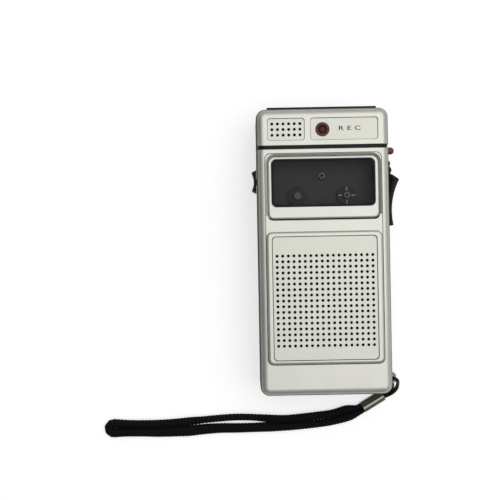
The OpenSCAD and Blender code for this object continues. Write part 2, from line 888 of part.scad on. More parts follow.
// Slots in the side walls for the two slides and the record button
module slide_slots() {
  box([inner_x - past, thumb_slot_y0, control_z - stem_w / 2 - run_gap],
      [half_w + past, thumb_slot_y0 + thumb_slot_l, control_z + stem_w / 2 + run_gap]);
  box([-half_w - past, volume_y - volume_slot_l / 2, control_z - stem_w / 2 - run_gap],
      [-inner_x + past, volume_y + volume_slot_l / 2, control_z + stem_w / 2 + run_gap]);
  button_hole();
}

// Hole for the record button through the side wall and the black band
module button_hole() {
  rod_x(inner_x - past, half_w + past, button_y, control_z, button_d + 2 * button_hole_gap);
}

module rear_shell() {
  color("silver")
    difference() {
      union() {
        difference() {
          rear_outer();
          translate([0, 0, wall])
            linear_extrude(split_z)
              inner_plan(0);
        }
        shell_lip();
        for (p = boss_points)
          post(p, boss_d, wall / 2, split_z);
        for (p = chassis_posts)
          post(p, post_d, wall / 2, chassis_z);
        for (p = board_posts)
          post(p, post_d, wall / 2, board_z);
        box([-inner_x - wall / 2, divider_y0, wall / 2],
            [inner_x + wall / 2, divider_y0 + divider_t, wall + divider_h]);
      }
      battery_door_space(fit_gap);
      for (p = boss_points) {
        post(p, screw_d + 4 * fit_gap, -past, split_z + past);
        post(p, screw_head_d + 2 * fit_gap, -past, screw_head_z + screw_head_h);
      }
      for (p = chassis_posts)
        post(p, small_screw_d + 2 * thread_gap, chassis_top - small_screw_l - past, chassis_z + past);
      for (p = board_posts)
        post(p, small_screw_d + 2 * thread_gap, board_z + board_t - small_screw_l - past, board_z + past);
      staple_legs(staple_rod_d + 2 * thread_gap);
    }
}

// Lip inside the joint that lines up the two shells
module shell_lip() {
  difference() {
    union() {
      translate([0, 0, split_z - lip_root])
        linear_extrude(lip_root)
          intersection() {
            inner_plan(-wall / 4);
            lip_window();
          }
      translate([0, 0, split_z - lip_root])
        linear_extrude(lip_root + lip_h)
          intersection() {
            inner_plan(fit_gap);
            lip_window();
          }
    }
    translate([0, 0, split_z - lip_root - past])
      linear_extrude(lip_root + lip_h + 2 * past)
        inner_plan(fit_gap + lip_t);
    for (p = boss_points)
      post(p, boss_d + 2 * fit_gap, split_z, split_z + lip_h + past);
  }
}

// Plan that keeps the lip clear of the band
module lip_window() {
  translate([-half_w, foot_y])
    square([body_w, band_y - 2 * fit_gap - foot_y]);
}

module head_cap() {
  color("silver")
    difference() {
      union() {
        difference() {
          mirror([0, 1, 0])
            translate([0, -band_top_y, 0])
              end_block(body_w, head_y - band_top_y, front_z, corner_r, front_edge_r, back_edge_r);
          cap_inside();
        }
        for (p = head_posts)
          post(p, post_d, wall / 2, head_board_z);
      }
      head_window(mic_mid_x, mic_w);
      head_window(record_mid_x, record_w);
      for (x = [ear_x, remote_x])
        rod_y(x, head_y - wall - past, head_y + past, socket_z, 2 * (jack_nose_r + fit_gap));
    }
}

// Hollow of the head cap
module cap_inside() {
  l = head_y - wall - band_top_y + corner_r;
  translate([0, band_top_y - corner_r + l / 2, wall])
    linear_extrude(front_z - 2 * wall)
      round_rect(2 * inner_x, l, inner_corner_r);
}

// Stepped opening for one head panel
module head_window(x, w) {
  translate([x, head_panel_mid_y, 0]) {
    slab(w, head_panel_h, head_panel_r, head_panel_z0, front_z + past);
    slab(w - 2 * panel_rim, head_panel_h - 2 * panel_rim, head_panel_r / 2, front_z - wall - past, front_z);
  }
}

module head_spacer() {
  color("black")
    difference() {
      union() {
        translate([0, band_top_y, band_inset])
          rotate([90, 0, 0])
            linear_extrude(band_h)
              edge_profile(body_w - 2 * band_inset, front_z - 2 * band_inset, front_edge_r, back_edge_r);
        box([-inner_x + fit_gap, band_y, wall + fit_gap],
            [inner_x - fit_gap, band_top_y + sleeve_l, front_z - wall - fit_gap]);
      }
      box([-inner_x + 2 * wall, band_y - past, 2 * wall],
          [inner_x - 2 * wall, band_top_y + sleeve_l + past, front_z - 2 * wall]);
      button_hole();
      box([inner_x - 2 * wall - past, band_y - past, control_z - button_flange_r - run_gap],
          [inner_x, button_y + button_d / 2 + run_gap, control_z + button_flange_r + run_gap]);
    }
}

module front_panel() {
  color("silver")
    difference() {
      union() {
        translate([0, panel_y, 0])
          slab(panel_w, panel_l, panel_corner_r, panel_z0, front_z);
        speaker_bezel();
      }
      box([-panel_w / 2 + panel_skirt, panel_bottom_y + panel_skirt, panel_z0 - past],
          [panel_w / 2 - panel_skirt, door_open_y0 - 2 * panel_skirt, panel_under_z]);
      translate([0, grille_y, 0])
        slab(grille_w + 2 * grille_gap, grille_l + 2 * grille_gap, grille_corner_r,
             grille_z0, bezel_z + past);
      translate([0, holes_y, 0])
        slab(cloth_w + 2 * fit_gap, cloth_l + 2 * fit_gap, grille_corner_r, cloth_z0, bezel_z);
      post([0, speaker_y], sound_hole_d, panel_z0 - past, bezel_z);
      door_recess();
      for (side = [-1, 1])
        rod_x(side * (pin_x0 + hinge_pin_l / 2) - hinge_pin_l / 2 - thread_gap,
              side * (pin_x0 + hinge_pin_l / 2) + hinge_pin_l / 2 + thread_gap,
              hinge_y, hinge_z, hinge_pin_d + 2 * thread_gap);
    }
}

// Raised frame with round edges around the grille
module speaker_bezel() {
  half_l = (bezel_top_y - panel_bottom_y - fit_gap) / 2;
  translate([0, bezel_top_y - half_l, panel_under_z])
    for (turn = [0, 180])
      rotate(turn)
        end_block(panel_w - 2 * fit_gap, half_l, bezel_z - panel_under_z, panel_corner_r, bezel_h, 0);
}

// Opening for the door with sloping sides at the front
module door_recess() {
  slope_y0 = door_open_y0 + door_corner_r;
  slope_y1 = door_open_y1 - door_open_r;
  translate([0, 0, panel_z0 - past])
    linear_extrude(panel_t + 2 * past)
      two_radius_plan(door_open_w, door_open_y0, door_open_y1, door_corner_r, door_open_r);
  for (side = [-1, 1]) {
    translate([side * door_open_w / 2, slope_y0, front_z])
      rotate([-90, 0, 0])
        linear_extrude(slope_y1 - slope_y0)
          slope_section(side);
    translate([side * (door_open_w / 2 - door_open_r), slope_y1, front_z - recess_depth])
      cylinder(r1 = door_open_r, r2 = door_open_r + 2 * recess_slope, h = 2 * recess_depth);
  }
  translate([0, door_open_y1, front_z])
    rotate([90, 0, 90])
      linear_extrude(door_open_w - 2 * door_open_r, center = true)
        mirror([0, 1])
          slope_section(1);
}

// Triangle that cuts one slope, with the depth downwards
module slope_section(side) {
  polygon([[-side, -past], [side * recess_slope, -past], [side * recess_slope, 0],
           [0, recess_depth], [-side, recess_depth]]);
}

module speaker_grille() {
  color("gainsboro")
    translate([0, grille_y, grille_z0])
      linear_extrude(grille_t)
        difference() {
          round_rect(grille_w, grille_l, grille_corner_r);
          translate([0, holes_y - grille_y])
            hole_field(hole_cols, hole_rows);
        }
}

// Black felt behind the grille that darkens its holes
module grille_cloth() {
  color("black")
    translate([0, holes_y, 0])
      slab(cloth_w, cloth_l, grille_corner_r, cloth_z0, grille_z0);
}

// Cassette door

module cassette_door() {
  color("silver")
    difference() {
      union() {
        door_leaf();
        box([tongue_x0, tongue_y1 - tongue_t, door_z0 - tongue_h],
            [tongue_x1, tongue_y1, door_z0 + fuse]);
      }
      translate([0, window_y, 0])
        slab(window_w, window_l, window_r, window_z0, door_z1 + past);
      translate([0, window_y, 0])
        slab(window_w - 2 * window_ledge, window_l - 2 * window_ledge, window_r, door_z0 - past, door_z1);
      rod_x(-door_w / 2 - past, -pin_x0 + run_gap, hinge_y, hinge_z, hinge_pin_d + 2 * pin_gap);
      rod_x(pin_x0 - run_gap, door_w / 2 + past, hinge_y, hinge_z, hinge_pin_d + 2 * pin_gap);
    }
}

// Leaf of the door with round edges, as a lower and an upper half
module door_leaf() {
  translate([0, door_mid_y, door_z0]) {
    end_block(door_w, door_mid_y - door_bottom_y, door_t, door_corner_r, door_edge_r, door_edge_r);
    mirror([0, 1, 0])
      end_block(door_w, door_top_y - door_mid_y, door_t, door_top_r, door_edge_r, door_edge_r);
  }
}

module door_window() {
  color("dimgray")
    translate([0, window_y, 0])
      slab(window_w - fit_gap, window_l - fit_gap, window_r, window_z0, window_z1);
}

module door_hinge_pins() {
  color("lightgray")
    for (side = [-1, 1])
      rod_x(side * (pin_x0 + hinge_pin_l / 2) - hinge_pin_l / 2,
            side * (pin_x0 + hinge_pin_l / 2) + hinge_pin_l / 2, hinge_y, hinge_z, hinge_pin_d);
}

module door_catch() {
  color("goldenrod")
    box([tongue_x0, tongue_y1 + run_gap, well_floor + catch_lift],
        [tongue_x1, well_y1, well_z1 - run_gap]);
}

// Head panels

module mic_grille() {
  color("gainsboro")
    translate([mic_mid_x, head_panel_mid_y, head_panel_z0])
      linear_extrude(head_panel_t)
        difference() {
          round_rect(mic_w - 2 * head_panel_gap, head_panel_h - 2 * head_panel_gap, head_panel_r);
          hole_field(mic_cols, mic_rows);
        }
}

module record_plate() {
  color("gainsboro")
    difference() {
      translate([record_mid_x, head_panel_mid_y, 0])
        slab(record_w - 2 * head_panel_gap, head_panel_h - 2 * head_panel_gap, head_panel_r,
             head_panel_z0, head_panel_z1);
      post([0, lamp_y], lamp_d + 2 * fit_gap, head_panel_z0 - past, head_panel_z1 + past);
    }
}

module lamp_lens() {
  flange_z = head_panel_z0 - fit_gap;
  color("rosybrown")
    difference() {
      union() {
        post([0, lamp_y], lamp_d, flange_z - fuse, head_panel_z1 + lamp_proud);
        post([0, lamp_y], lamp_d + 2 * lamp_flange_w, flange_z - lamp_flange_t, flange_z);
      }
      post([0, lamp_y], led_d + 2 * fit_gap, flange_z - lamp_flange_t - past, head_panel_z1 + past);
    }
}

module lamp_led() {
  color("darkred") {
    intersection() {
      translate([0, lamp_y, led_base_z - sqrt(led_dome_r * led_dome_r - led_d * led_d / 4)])
        sphere(led_dome_r);
      post([0, lamp_y], led_d, led_base_z - past, led_base_z + led_dome_r);
    }
    post([0, lamp_y], led_d, led_base_z - led_body_l, led_base_z);
    post([0, lamp_y], led_d / 2, head_board_z + head_board_t, led_base_z - led_body_l);
  }
}

// Sockets on the head end

module top_strip() {
  color("black")
    difference() {
      translate([0, head_y + strip_t, strip_z])
        rotate([90, 0, 0])
          linear_extrude(strip_t)
            round_rect(strip_l, strip_w, strip_r);
      for (x = [ear_x, remote_x])
        rod_y(x, head_y - past, head_y + strip_t + past, socket_z, 2 * (jack_nose_r + fit_gap));
    }
}

module earphone_jack() {
  color("dimgray")
    jack(ear_x, ear_bore_d);
}

module remote_jack() {
  color("dimgray")
    jack(remote_x, remote_bore_d);
}

// Socket with a nose through the wall and a body behind it
module jack(x, bore) {
  y1 = head_y - wall;
  difference() {
    union() {
      rod_y(x, y1 - past, head_y + strip_t, socket_z, 2 * jack_nose_r);
      box([x - jack_w / 2, y1 - socket_l, socket_z - jack_w / 2],
          [x + jack_w / 2, y1, socket_z + jack_w / 2]);
    }
    rod_y(x, y1 - socket_l + jack_floor, head_y + strip_t + past, socket_z, bore);
  }
}

// Side controls

module thumb_slide() {
  color("black") {
    translate([half_w, 0, control_z - slide_w / 2])
      linear_extrude(slide_w)
        thumb_plan();
    box([inner_x - stem_in, thumb_stem_y0, control_z - stem_w / 2],
        [half_w + 2 * run_gap, thumb_stem_y0 + thumb_stem_l, control_z + stem_w / 2]);
  }
}

// Outline of the thumb slide, with X counted from the side wall
module thumb_plan() {
  difference() {
    polygon([[run_gap, thumb_low_y], [scoop_flare, thumb_low_y], [thumb_crest, crest_y],
             [ridge_h, thumb_high_y], [run_gap, thumb_high_y]]);
    translate([scoop_x, scoop_y])
      circle(scoop_r, $fn = 128);
  }
  translate([run_gap, thumb_high_y - past])
    square([ridge_h / 2 - run_gap, ridge_l + past]);
  intersection() {
    translate([run_gap, thumb_high_y - past])
      square([thumb_crest, ridge_l + past]);
    union() {
      translate([0, thumb_high_y + ridge_h])
        circle(ridge_h);
      translate([-bump_sink, thumb_high_y + ridge_l - bump_set])
        circle(bump_r);
    }
  }
}

module mode_switch() {
  color("dimgray")
    difference() {
      box([inner_x - control_depth, thumb_slot_y0 - control_end, control_z - control_h / 2],
          [inner_x, thumb_slot_y0 + thumb_slot_l + control_end, control_z + control_h / 2]);
      box([inner_x - stem_in - run_gap, thumb_slot_y0, control_z - stem_w / 2 - run_gap],
          [inner_x + past, thumb_slot_y0 + thumb_slot_l, control_z + stem_w / 2 + run_gap]);
    }
}

module volume_slide() {
  color("black") {
    translate([-half_w, volume_y, control_z - slide_w / 2])
      linear_extrude(slide_w)
        difference() {
          polygon([[-run_gap, -volume_l / 2], [-volume_h, -volume_tip / 2],
                   [-volume_h, volume_tip / 2], [-run_gap, volume_l / 2]]);
          translate([-volume_h + volume_scoop - volume_scoop_r, 0])
            circle(volume_scoop_r, $fn = 96);
        }
    box([-half_w - 2 * run_gap, volume_y - volume_stem_l / 2, control_z - stem_w / 2],
        [-inner_x + stem_in, volume_y + volume_stem_l / 2, control_z + stem_w / 2]);
  }
}

module volume_control() {
  reach = volume_slot_l / 2;
  color("dimgray")
    difference() {
      box([-inner_x, volume_y - reach - control_end, control_z - control_h / 2],
          [-inner_x + control_depth, volume_y + reach + control_end, control_z + control_h / 2]);
      box([-inner_x - past, volume_y - reach, control_z - stem_w / 2 - run_gap],
          [-inner_x + stem_in + run_gap, volume_y + reach, control_z + stem_w / 2 + run_gap]);
    }
}

module record_button() {
  flange_x = inner_x - run_gap - button_flange_t;
  color("firebrick") {
    rod_x(flange_x, half_w + button_h - button_d / 2, button_y, control_z, button_d);
    box([flange_x, button_y - button_flange_r, control_z - button_flange_r],
        [flange_x + button_flange_t, button_y + button_d / 2, control_z + button_flange_r]);
    translate([half_w + button_h - button_d / 2, button_y, control_z])
      sphere(d = button_d);
  }
}

module record_switch() {
  x1 = inner_x - run_gap - button_flange_t - button_travel - run_gap;
  color("dimgray")
    box([x1 - switch_l, well_y1 + well_wall + run_gap, chassis_top],
        [x1, chassis_y1, control_z + button_flange_r]);
}

// Wrist strap

// The two legs of the staple, also used to drill the rear shell
module staple_legs(d) {
  for (side = [-1, 1])
    rod_x(half_w - staple_root, staple_x - staple_bend, staple_y + side * staple_span / 2, staple_z, d);
}

module strap_staple() {
  color("lightgray") {
    staple_legs(staple_rod_d);
    for (side = [0, 1])
      translate([staple_x - staple_bend, staple_y, staple_z])
        mirror([0, side, 0])
          translate([0, staple_span / 2 - staple_bend, 0])
            quarter_bend(staple_bend, staple_rod_d);
    rod_y(staple_x, staple_y - staple_span / 2 + staple_bend,
          staple_y + staple_span / 2 - staple_bend, staple_z, staple_rod_d);
  }
}

// Quarter of a ring in the first quadrant
module quarter_bend(r, d) {
  intersection() {
    rotate_extrude()
      translate([r, 0])
        circle(d = d);
    translate([0, 0, -d])
      cube([r + d, r + d, 2 * d]);
  }
}

module strap_leader() {
  color("black")
    tube(leader_points, leader_d, cord_sides, 1);
}

module wrist_cord() {
  color("black")
    tube(cord_points, cord_d, cord_sides, cord_pinch);
}

module strap_ferrule() {
  color("lightgray")
    translate([ferrule_at[0], ferrule_at[1], ferrule_lift])
      rotate([90, 0, 90 + ferrule_angle])
        linear_extrude(ferrule_l, center = true)
          polygon([[-ferrule_w / 2, ferrule_fold], [-ferrule_w / 2 + ferrule_fold, 0],
                   [ferrule_w / 2 - ferrule_fold, 0], [ferrule_w / 2, ferrule_fold],
                   [ferrule_w / 2, ferrule_h - 2 * ferrule_fold], [ferrule_fold, ferrule_h],
                   [-ferrule_fold, ferrule_h], [-ferrule_w / 2, ferrule_h - 2 * ferrule_fold]]);
}

// Directions and rings of a tube along a list of points
function unit(v) = v / norm(v);
function tangents(p) = [
  for (i = [0 : len(p) - 1]) unit(p[min(i + 1, len(p) - 1)] - p[max(i - 1, 0)])
];
function square_to(n, t) = unit(n - (n * t) * t);
function carried(t, n, i) = i >= len(t) ? [] :
  let (m = square_to(n, t[i])) concat([m], carried(t, m, i + 1));
function ring(p, t, n, r, sides) = [
  for (k = [0 : sides - 1])
    p + r * (cos(360 * k / sides) * n + sin(360 * k / sides) * cross(t, n))
];

module tube(p, d, sides, pinch) {
  t = tangents(p);
  n = carried(t, [0, 0, 1], 0);
  last = len(p) - 1;
  rings = [
    for (i = [0 : last])
      ring(p[i], t[i], n[i], d / 2 * (min(i, last - i) < pinched_rings ? pinch : 1), sides)
  ];
  points = [for (r = rings) each r];
  side_faces = [
    for (i = [0 : last - 1], k = [0 : sides - 1])
      let (a = i * sides + k, b = i * sides + (k + 1) % sides)
        each [[a, a + sides, b], [b, a + sides, b + sides]]
  ];
  start_cap = [for (k = [1 : sides - 2]) [0, k, k + 1]];
  end_cap = [for (k = [1 : sides - 2]) [last * sides, last * sides + k + 1, last * sides + k]];
  polyhedron(points, concat(side_faces, start_cap, end_cap));
}

// Batteries

module battery_door() {
  color("silver") {
    intersection() {
      difference() {
        rear_outer();
        translate([0, 0, wall])
          linear_extrude(split_z)
            inner_plan(0);
      }
      battery_door_space(0);
    }
    for (side = [0, 1])
      mirror([side, 0, 0]) {
        box([battery_door_w / 2 - 2 * rail_w, rail_y0, wall / 2],
            [battery_door_w / 2 - fit_gap, rail_y1, wall + run_gap + rail_t]);
        box([battery_door_w / 2 - 2 * rail_w, rail_y0, wall + run_gap],
            [battery_door_w / 2 + rail_w, rail_y1, wall + run_gap + rail_t]);
      }
  }
}

module battery_cells() {
  color("steelblue")
    for (i = [-1 : 1])
      translate([i * cell_pitch, (cell_y0 + cell_y1) / 2, cell_z])
        rotate([i == 0 ? 90 : -90, 0, 0])
          translate([0, 0, -cell_l / 2]) {
            cylinder(d = cell_d, h = cell_l - nub_l);
            cylinder(d = nub_d, h = cell_l);
          }
}

module battery_contacts() {
  color("lightgray")
    for (i = [-1 : 1])
      box([i * cell_pitch - contact_w / 2, divider_y0 - contact_t, cell_z - contact_w / 2],
          [i * cell_pitch + contact_w / 2, divider_y0, cell_z + contact_w / 2]);
}

module end_contacts() {
  color("lightgray")
    box([-cell_pitch - contact_w / 2, foot_y + wall, cell_z - contact_w / 2],
        [cell_pitch + contact_w / 2, foot_y + wall + contact_t, battery_end_h - run_gap]);
}

module housing_screws() {
  color("gray")
    for (p = boss_points)
      difference() {
        union() {
          post(p, screw_head_d, screw_head_z, screw_head_z + screw_head_h);
          post(p, screw_d, screw_head_z, screw_head_z + screw_l);
        }
        for (turn = [0, 90])
          translate([p[0], p[1], screw_head_z])
            rotate(turn)
              cube([cross_l, cross_w, screw_head_h], center = true);
      }
}

// Tape deck

module cassette_well() {
  l = well_y1 - well_y0;
  mid = (well_y0 + well_y1) / 2;
  color("dimgray") {
    difference() {
      translate([0, mid, 0])
        slab(well_outer_w, l + 2 * well_wall, well_wall, well_z0, well_z1);
      translate([0, mid, 0])
        slab(well_w, l, well_wall / 2, well_floor, well_z1 + past);
      for (side = [-1, 1])
        post([side * spindle_x, spindle_y], 2 * (collar_r + collar_clear), well_z0 - past, well_floor + past);
      box([-notch_w / 2, notch_y0, well_z0 - past],
          [notch_w / 2, well_y1 + 2 * well_wall, well_z1 + past]);
    }
    for (p = foot_points)
      post(p, foot_pad_d, chassis_top, well_z0 + well_wall / 2);
  }
}

module chassis() {
  color("slategray") {
    difference() {
      box([-chassis_w / 2, chassis_y, chassis_z], [chassis_w / 2, chassis_y1, chassis_top]);
      for (side = [-1, 1])
        post([side * spindle_x, spindle_y], 2 * (bush_r + thread_gap), chassis_z - past, chassis_top + past);
      post([drive_x, drive_y], pulley_shaft_d + 2 * thread_gap, chassis_z - past, chassis_top + past);
      for (p = chassis_posts)
        post(p, small_screw_d + 2 * fit_gap, chassis_z - past, chassis_top + past);
    }
    for (side = [-1, 1])
      post([side * guide_pin_x, guide_pin_y], guide_pin_d, chassis_top - chassis_t / 2, well_z0 - run_gap);
  }
}

module inner_screws() {
  color("gray") {
    for (p = chassis_posts)
      translate([p[0], p[1], chassis_top])
        small_screw();
    for (p = board_posts)
      translate([p[0], p[1], board_z + board_t])
        small_screw();
  }
}

// Small screw with its head's seat at the origin
module small_screw() {
  cylinder(d = small_head_d, h = small_head_h);
  translate([0, 0, -small_screw_l])
    cylinder(d = small_screw_d, h = small_screw_l + small_head_h / 2);
}

module guide_post() {
  color("darkkhaki")
    translate([0, post_y, well_floor])
      rotate(post_turn)
        translate([-post_side / 2, -post_side / 2, 0])
          cube([post_side, post_side, post_h]);
}

// Shaft, collar and disc of one spindle, from its lower end up
module spindle(x, low_z) {
  translate([x, spindle_y, 0])
    rotate_extrude()
      polygon([[0, low_z], [shaft_d / 2, low_z], [shaft_d / 2, ring_z], [collar_r, ring_z],
               [collar_r, ring_z + ring_t], [shaft_d / 2, ring_z + ring_t],
               [shaft_d / 2, bush_top + collar_gap], [collar_r, bush_top + collar_gap],
               [collar_r, disc_z0], [disc_d / 2, disc_z0], [disc_d / 2, disc_z1], [0, disc_z1]]);
}

module supply_spindle() {
  color("dimgray")
    spindle(-spindle_x, ring_z - ring_t);
}

module takeup_spindle() {
  color("dimgray")
    spindle(spindle_x, belt_high_z - step_h / 2 - run_gap);
}

module supply_hub() {
  color("gainsboro")
    translate([-spindle_x, spindle_y, disc_z1])
      rotate_extrude()
        polygon([[0, 0], [supply_hub_d / 2, 0], [supply_hub_d / 2, hub_h - hub_chamfer],
                 [supply_hub_d / 2 - hub_chamfer, hub_h], [0, hub_h]]);
}

module takeup_dog() {
  color("gainsboro")
    translate([spindle_x, spindle_y, disc_z1]) {
      cylinder(d = dog_d, h = hub_h);
      for (turn = [0 : 90 : 270])
        rotate(turn)
          translate([dog_d / 2 - dog_fin_root, -dog_fin_t / 2, 0])
            cube([(disc_d - dog_d) / 2 + dog_fin_root - dog_fin_end, dog_fin_t, dog_fin_h]);
    }
}

module spindle_bushes() {
  color("darkgoldenrod")
    for (side = [-1, 1])
      translate([side * spindle_x, spindle_y, 0])
        rotate_extrude()
          polygon([[shaft_d / 2 + pin_gap, chassis_z - bush_below], [bush_r, chassis_z - bush_below],
                   [bush_r, chassis_top], [bush_flange_r, chassis_top],
                   [bush_flange_r, chassis_top + bush_flange_t], [bush_r, chassis_top + bush_flange_t],
                   [bush_r, bush_top], [shaft_d / 2 + pin_gap, bush_top]]);
}

// Pulley with one groove in the middle of its height, around the origin
module grooved_pulley(outer_d, bore_d) {
  r = outer_d / 2;
  rotate_extrude()
    polygon([[bore_d / 2, -step_h / 2], [r, -step_h / 2], [r, -groove_h / 2],
             [r - groove_depth, -groove_h / 2], [r - groove_depth, groove_h / 2], [r, groove_h / 2],
             [r, step_h / 2], [bore_d / 2, step_h / 2]]);
}

module takeup_pulley() {
  color("ivory")
    translate([spindle_x, spindle_y, belt_high_z])
      grooved_pulley(takeup_pulley_d, shaft_d + 2 * thread_gap);
}

module motor() {
  color("silver")
    difference() {
      post([motor_x, motor_y], motor_d, motor_z0, chassis_z);
      post([motor_x, motor_y], motor_shaft_d + 2 * pin_gap, motor_z0 - past, motor_z0 + motor_l / 2);
    }
}

module motor_pulley() {
  color("goldenrod") {
    translate([motor_x, motor_y, belt_low_z])
      grooved_pulley(motor_pulley_d, motor_shaft_d / 2);
    post([motor_x, motor_y], motor_shaft_d, drive_z0, motor_z0 + motor_l / 2 - run_gap);
  }
}

module drive_pulley() {
  bore = pulley_shaft_d + 2 * pin_gap;
  color("goldenrod")
    difference() {
      union() {
        translate([drive_x, drive_y, belt_low_z])
          grooved_pulley(drive_d, bore);
        translate([drive_x, drive_y, belt_high_z])
          grooved_pulley(drive_hub_d, bore);
        post([drive_x, drive_y], drive_hub_d - 2 * groove_depth, drive_z0 + step_h / 2, belt_high_z);
      }
      post([drive_x, drive_y], bore, drive_z0 - past, drive_z1 + past);
    }
}

module pulley_shaft() {
  shoulder_d = pulley_shaft_d + 2 * shoulder_w;
  color("lightgray") {
    post([drive_x, drive_y], pulley_shaft_d, wall + run_gap, chassis_top);
    post([drive_x, drive_y], shoulder_d, drive_z1 + run_gap, chassis_z);
    post([drive_x, drive_y], shoulder_d, wall + run_gap, drive_z0 - run_gap);
  }
}

// Plan of two wheels and the straight runs between them
module wheel_pair(a, ra, b, rb) {
  along = atan2(b[1] - a[1], b[0] - a[0]);
  lean = acos((ra - rb) / norm(b - a));
  upper = [cos(along + lean), sin(along + lean)];
  lower = [cos(along - lean), sin(along - lean)];
  translate(a)
    circle(ra);
  translate(b)
    circle(rb);
  polygon([a + ra * upper, a + ra * lower, b + rb * lower, b + rb * upper]);
}

module belt(a, ra, b, rb, z) {
  translate([0, 0, z - belt_h / 2])
    linear_extrude(belt_h)
      difference() {
        wheel_pair(a, ra + belt_t, b, rb + belt_t);
        wheel_pair(a, ra, b, rb);
      }
}

// Radius of a belt's inside on a pulley
function belt_r(outer_d) = outer_d / 2 - groove_depth + belt_seat;

module drive_belt() {
  color("black")
    belt([motor_x, motor_y], belt_r(motor_pulley_d), [drive_x, drive_y], belt_r(drive_d), belt_low_z);
}

module takeup_belt() {
  color("black")
    belt([drive_x, drive_y], belt_r(drive_hub_d), [spindle_x, spindle_y], belt_r(takeup_pulley_d),
         belt_high_z);
}

// Heads

module head_plate() {
  color("lightsteelblue")
    difference() {
      union() {
        box([-head_plate_w / 2, head_plate_y0, head_plate_z],
            [head_plate_w / 2, head_tab_y + head_tab_t, head_plate_z + head_plate_t]);
        box([-head_plate_w / 2, head_tab_y, head_plate_z],
            [head_plate_w / 2, head_tab_y + head_tab_t, head_z + head_h]);
      }
      for (side = [-1, 1])
        guide_slot(side * guide_pin_x);
    }
}

// Slot of the head plate around one guide pin
module guide_slot(x) {
  d = guide_pin_d + 2 * run_gap;
  low = [x, guide_pin_y - head_back];
  high = [x, guide_pin_y + head_travel];
  post(low, d, head_plate_z - past, head_plate_z + head_plate_t + past);
  post(high, d, head_plate_z - past, head_plate_z + head_plate_t + past);
  box([x - d / 2, low[1], head_plate_z - past], [x + d / 2, high[1], head_plate_z + head_plate_t + past]);
}

module record_head() {
  color("silver")
    box([-head_w / 2, head_front_y, head_z], [head_w / 2, head_tab_y, head_z + head_h]);
}

module erase_head() {
  color("white")
    box([erase_x - erase_w / 2, head_front_y, head_z],
        [erase_x + erase_w / 2, head_tab_y, head_z + head_h]);
}

// Electronics

module circuit_board() {
  color("darkgreen")
    difference() {
      box([-board_w / 2, board_y0, board_z], [board_w / 2, board_y1, board_z + board_t]);
      for (p = board_posts)
        post(p, small_screw_d + 2 * fit_gap, board_z - past, board_z + board_t + past);
    }
}

// Place on the circuit board from shares of its half width and half length
function on_board(p) = [
  p[0] * board_w / 2, (board_y0 + board_y1) / 2 + p[1] * (board_y1 - board_y0) / 2, board_z + board_t
];

module board_components() {
  color("darkslategray") {
    for (c = chips)
      translate(on_board(c) - [c[2] / 2, c[3] / 2, 0])
        cube([c[2], c[3], c[4]]);
    for (c = cans)
      translate(on_board(c))
        cylinder(d = can_d, h = can_h);
  }
}

module speaker_frame() {
  r = speaker_d / 2;
  throat = magnet_d / 2;
  flange_z = speaker_z1 - flange_t;
  color("gray")
    translate([0, speaker_y, 0])
      rotate_extrude()
        polygon([[r, speaker_z1], [r, flange_z], [basket_rim_r + basket_t / 2, flange_z],
                 [throat, basket_z0], [centre_hole_r, basket_z0], [centre_hole_r, basket_z0 + basket_t],
                 [throat - basket_t / 2, basket_z0 + basket_t],
                 [basket_rim_r - basket_t / 2, flange_z], [basket_rim_r - basket_t / 2, speaker_z1]]);
}

module speaker_magnet() {
  color("dimgray")
    post([0, speaker_y], magnet_d, magnet_z0, basket_z0);
}

module speaker_cone() {
  rim = basket_rim_r - basket_t / 2 - fit_gap;
  high = speaker_z1 - fit_gap;
  low = basket_z0 + cone_lift;
  color("black")
    translate([0, speaker_y, 0])
      rotate_extrude()
        polygon([[rim, high], [rim - cone_rim_w, high], [cone_low_r, low + cone_t],
                 [cone_low_r / 2, low + 3 * cone_t], [0, low + 4 * cone_t], [0, low + 3 * cone_t],
                 [cone_low_r / 2, low + 2 * cone_t], [cone_low_r, low], [rim, high - cone_t]]);
}

module mic_capsule() {
  z = head_board_z + head_board_t;
  color("silver")
    post([mic_mid_x, head_panel_mid_y], capsule_d, z, z + capsule_l);
}

module mic_sleeve() {
  z = head_board_z + head_board_t;
  outer = capsule_d + 2 * fit_gap + 2 * sleeve_wall;
  color("black")
    difference() {
      post([mic_mid_x, head_panel_mid_y], outer, z, front_z - wall);
      post([mic_mid_x, head_panel_mid_y], capsule_d + 2 * fit_gap, z - past, front_z);
    }
}

module head_board() {
  color("darkgreen")
    box([-head_board_w / 2, head_panel_mid_y - head_board_l / 2, head_board_z],
        [head_board_w / 2, head_panel_mid_y + head_board_l / 2, head_board_z + head_board_t]);
}

front_shell();
rear_shell();
head_cap();
head_spacer();
front_panel();
speaker_grille();
grille_cloth();
cassette_door();
door_window();
door_hinge_pins();
door_catch();
mic_grille();
record_plate();
lamp_lens();
lamp_led();
top_strip();
earphone_jack();
remote_jack();
record_button();
record_switch();
thumb_slide();
mode_switch();
volume_slide();
volume_control();
strap_staple();
strap_leader();
strap_ferrule();
wrist_cord();
battery_door();
battery_cells();
battery_contacts();
end_contacts();
housing_screws();
cassette_well();
chassis();
inner_screws();
guide_post();
supply_spindle();
supply_hub();
takeup_spindle();
takeup_dog();
takeup_pulley();
spindle_bushes();
motor();
motor_pulley();
drive_pulley();
pulley_shaft();
drive_belt();
takeup_belt();
head_plate();
record_head();
erase_head();
circuit_board();
board_components();
speaker_frame();
speaker_magnet();
speaker_cone();
mic_capsule();
mic_sleeve();
head_board();
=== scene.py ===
import json
import math

import bmesh
import bpy
from mathutils import Matrix, Vector


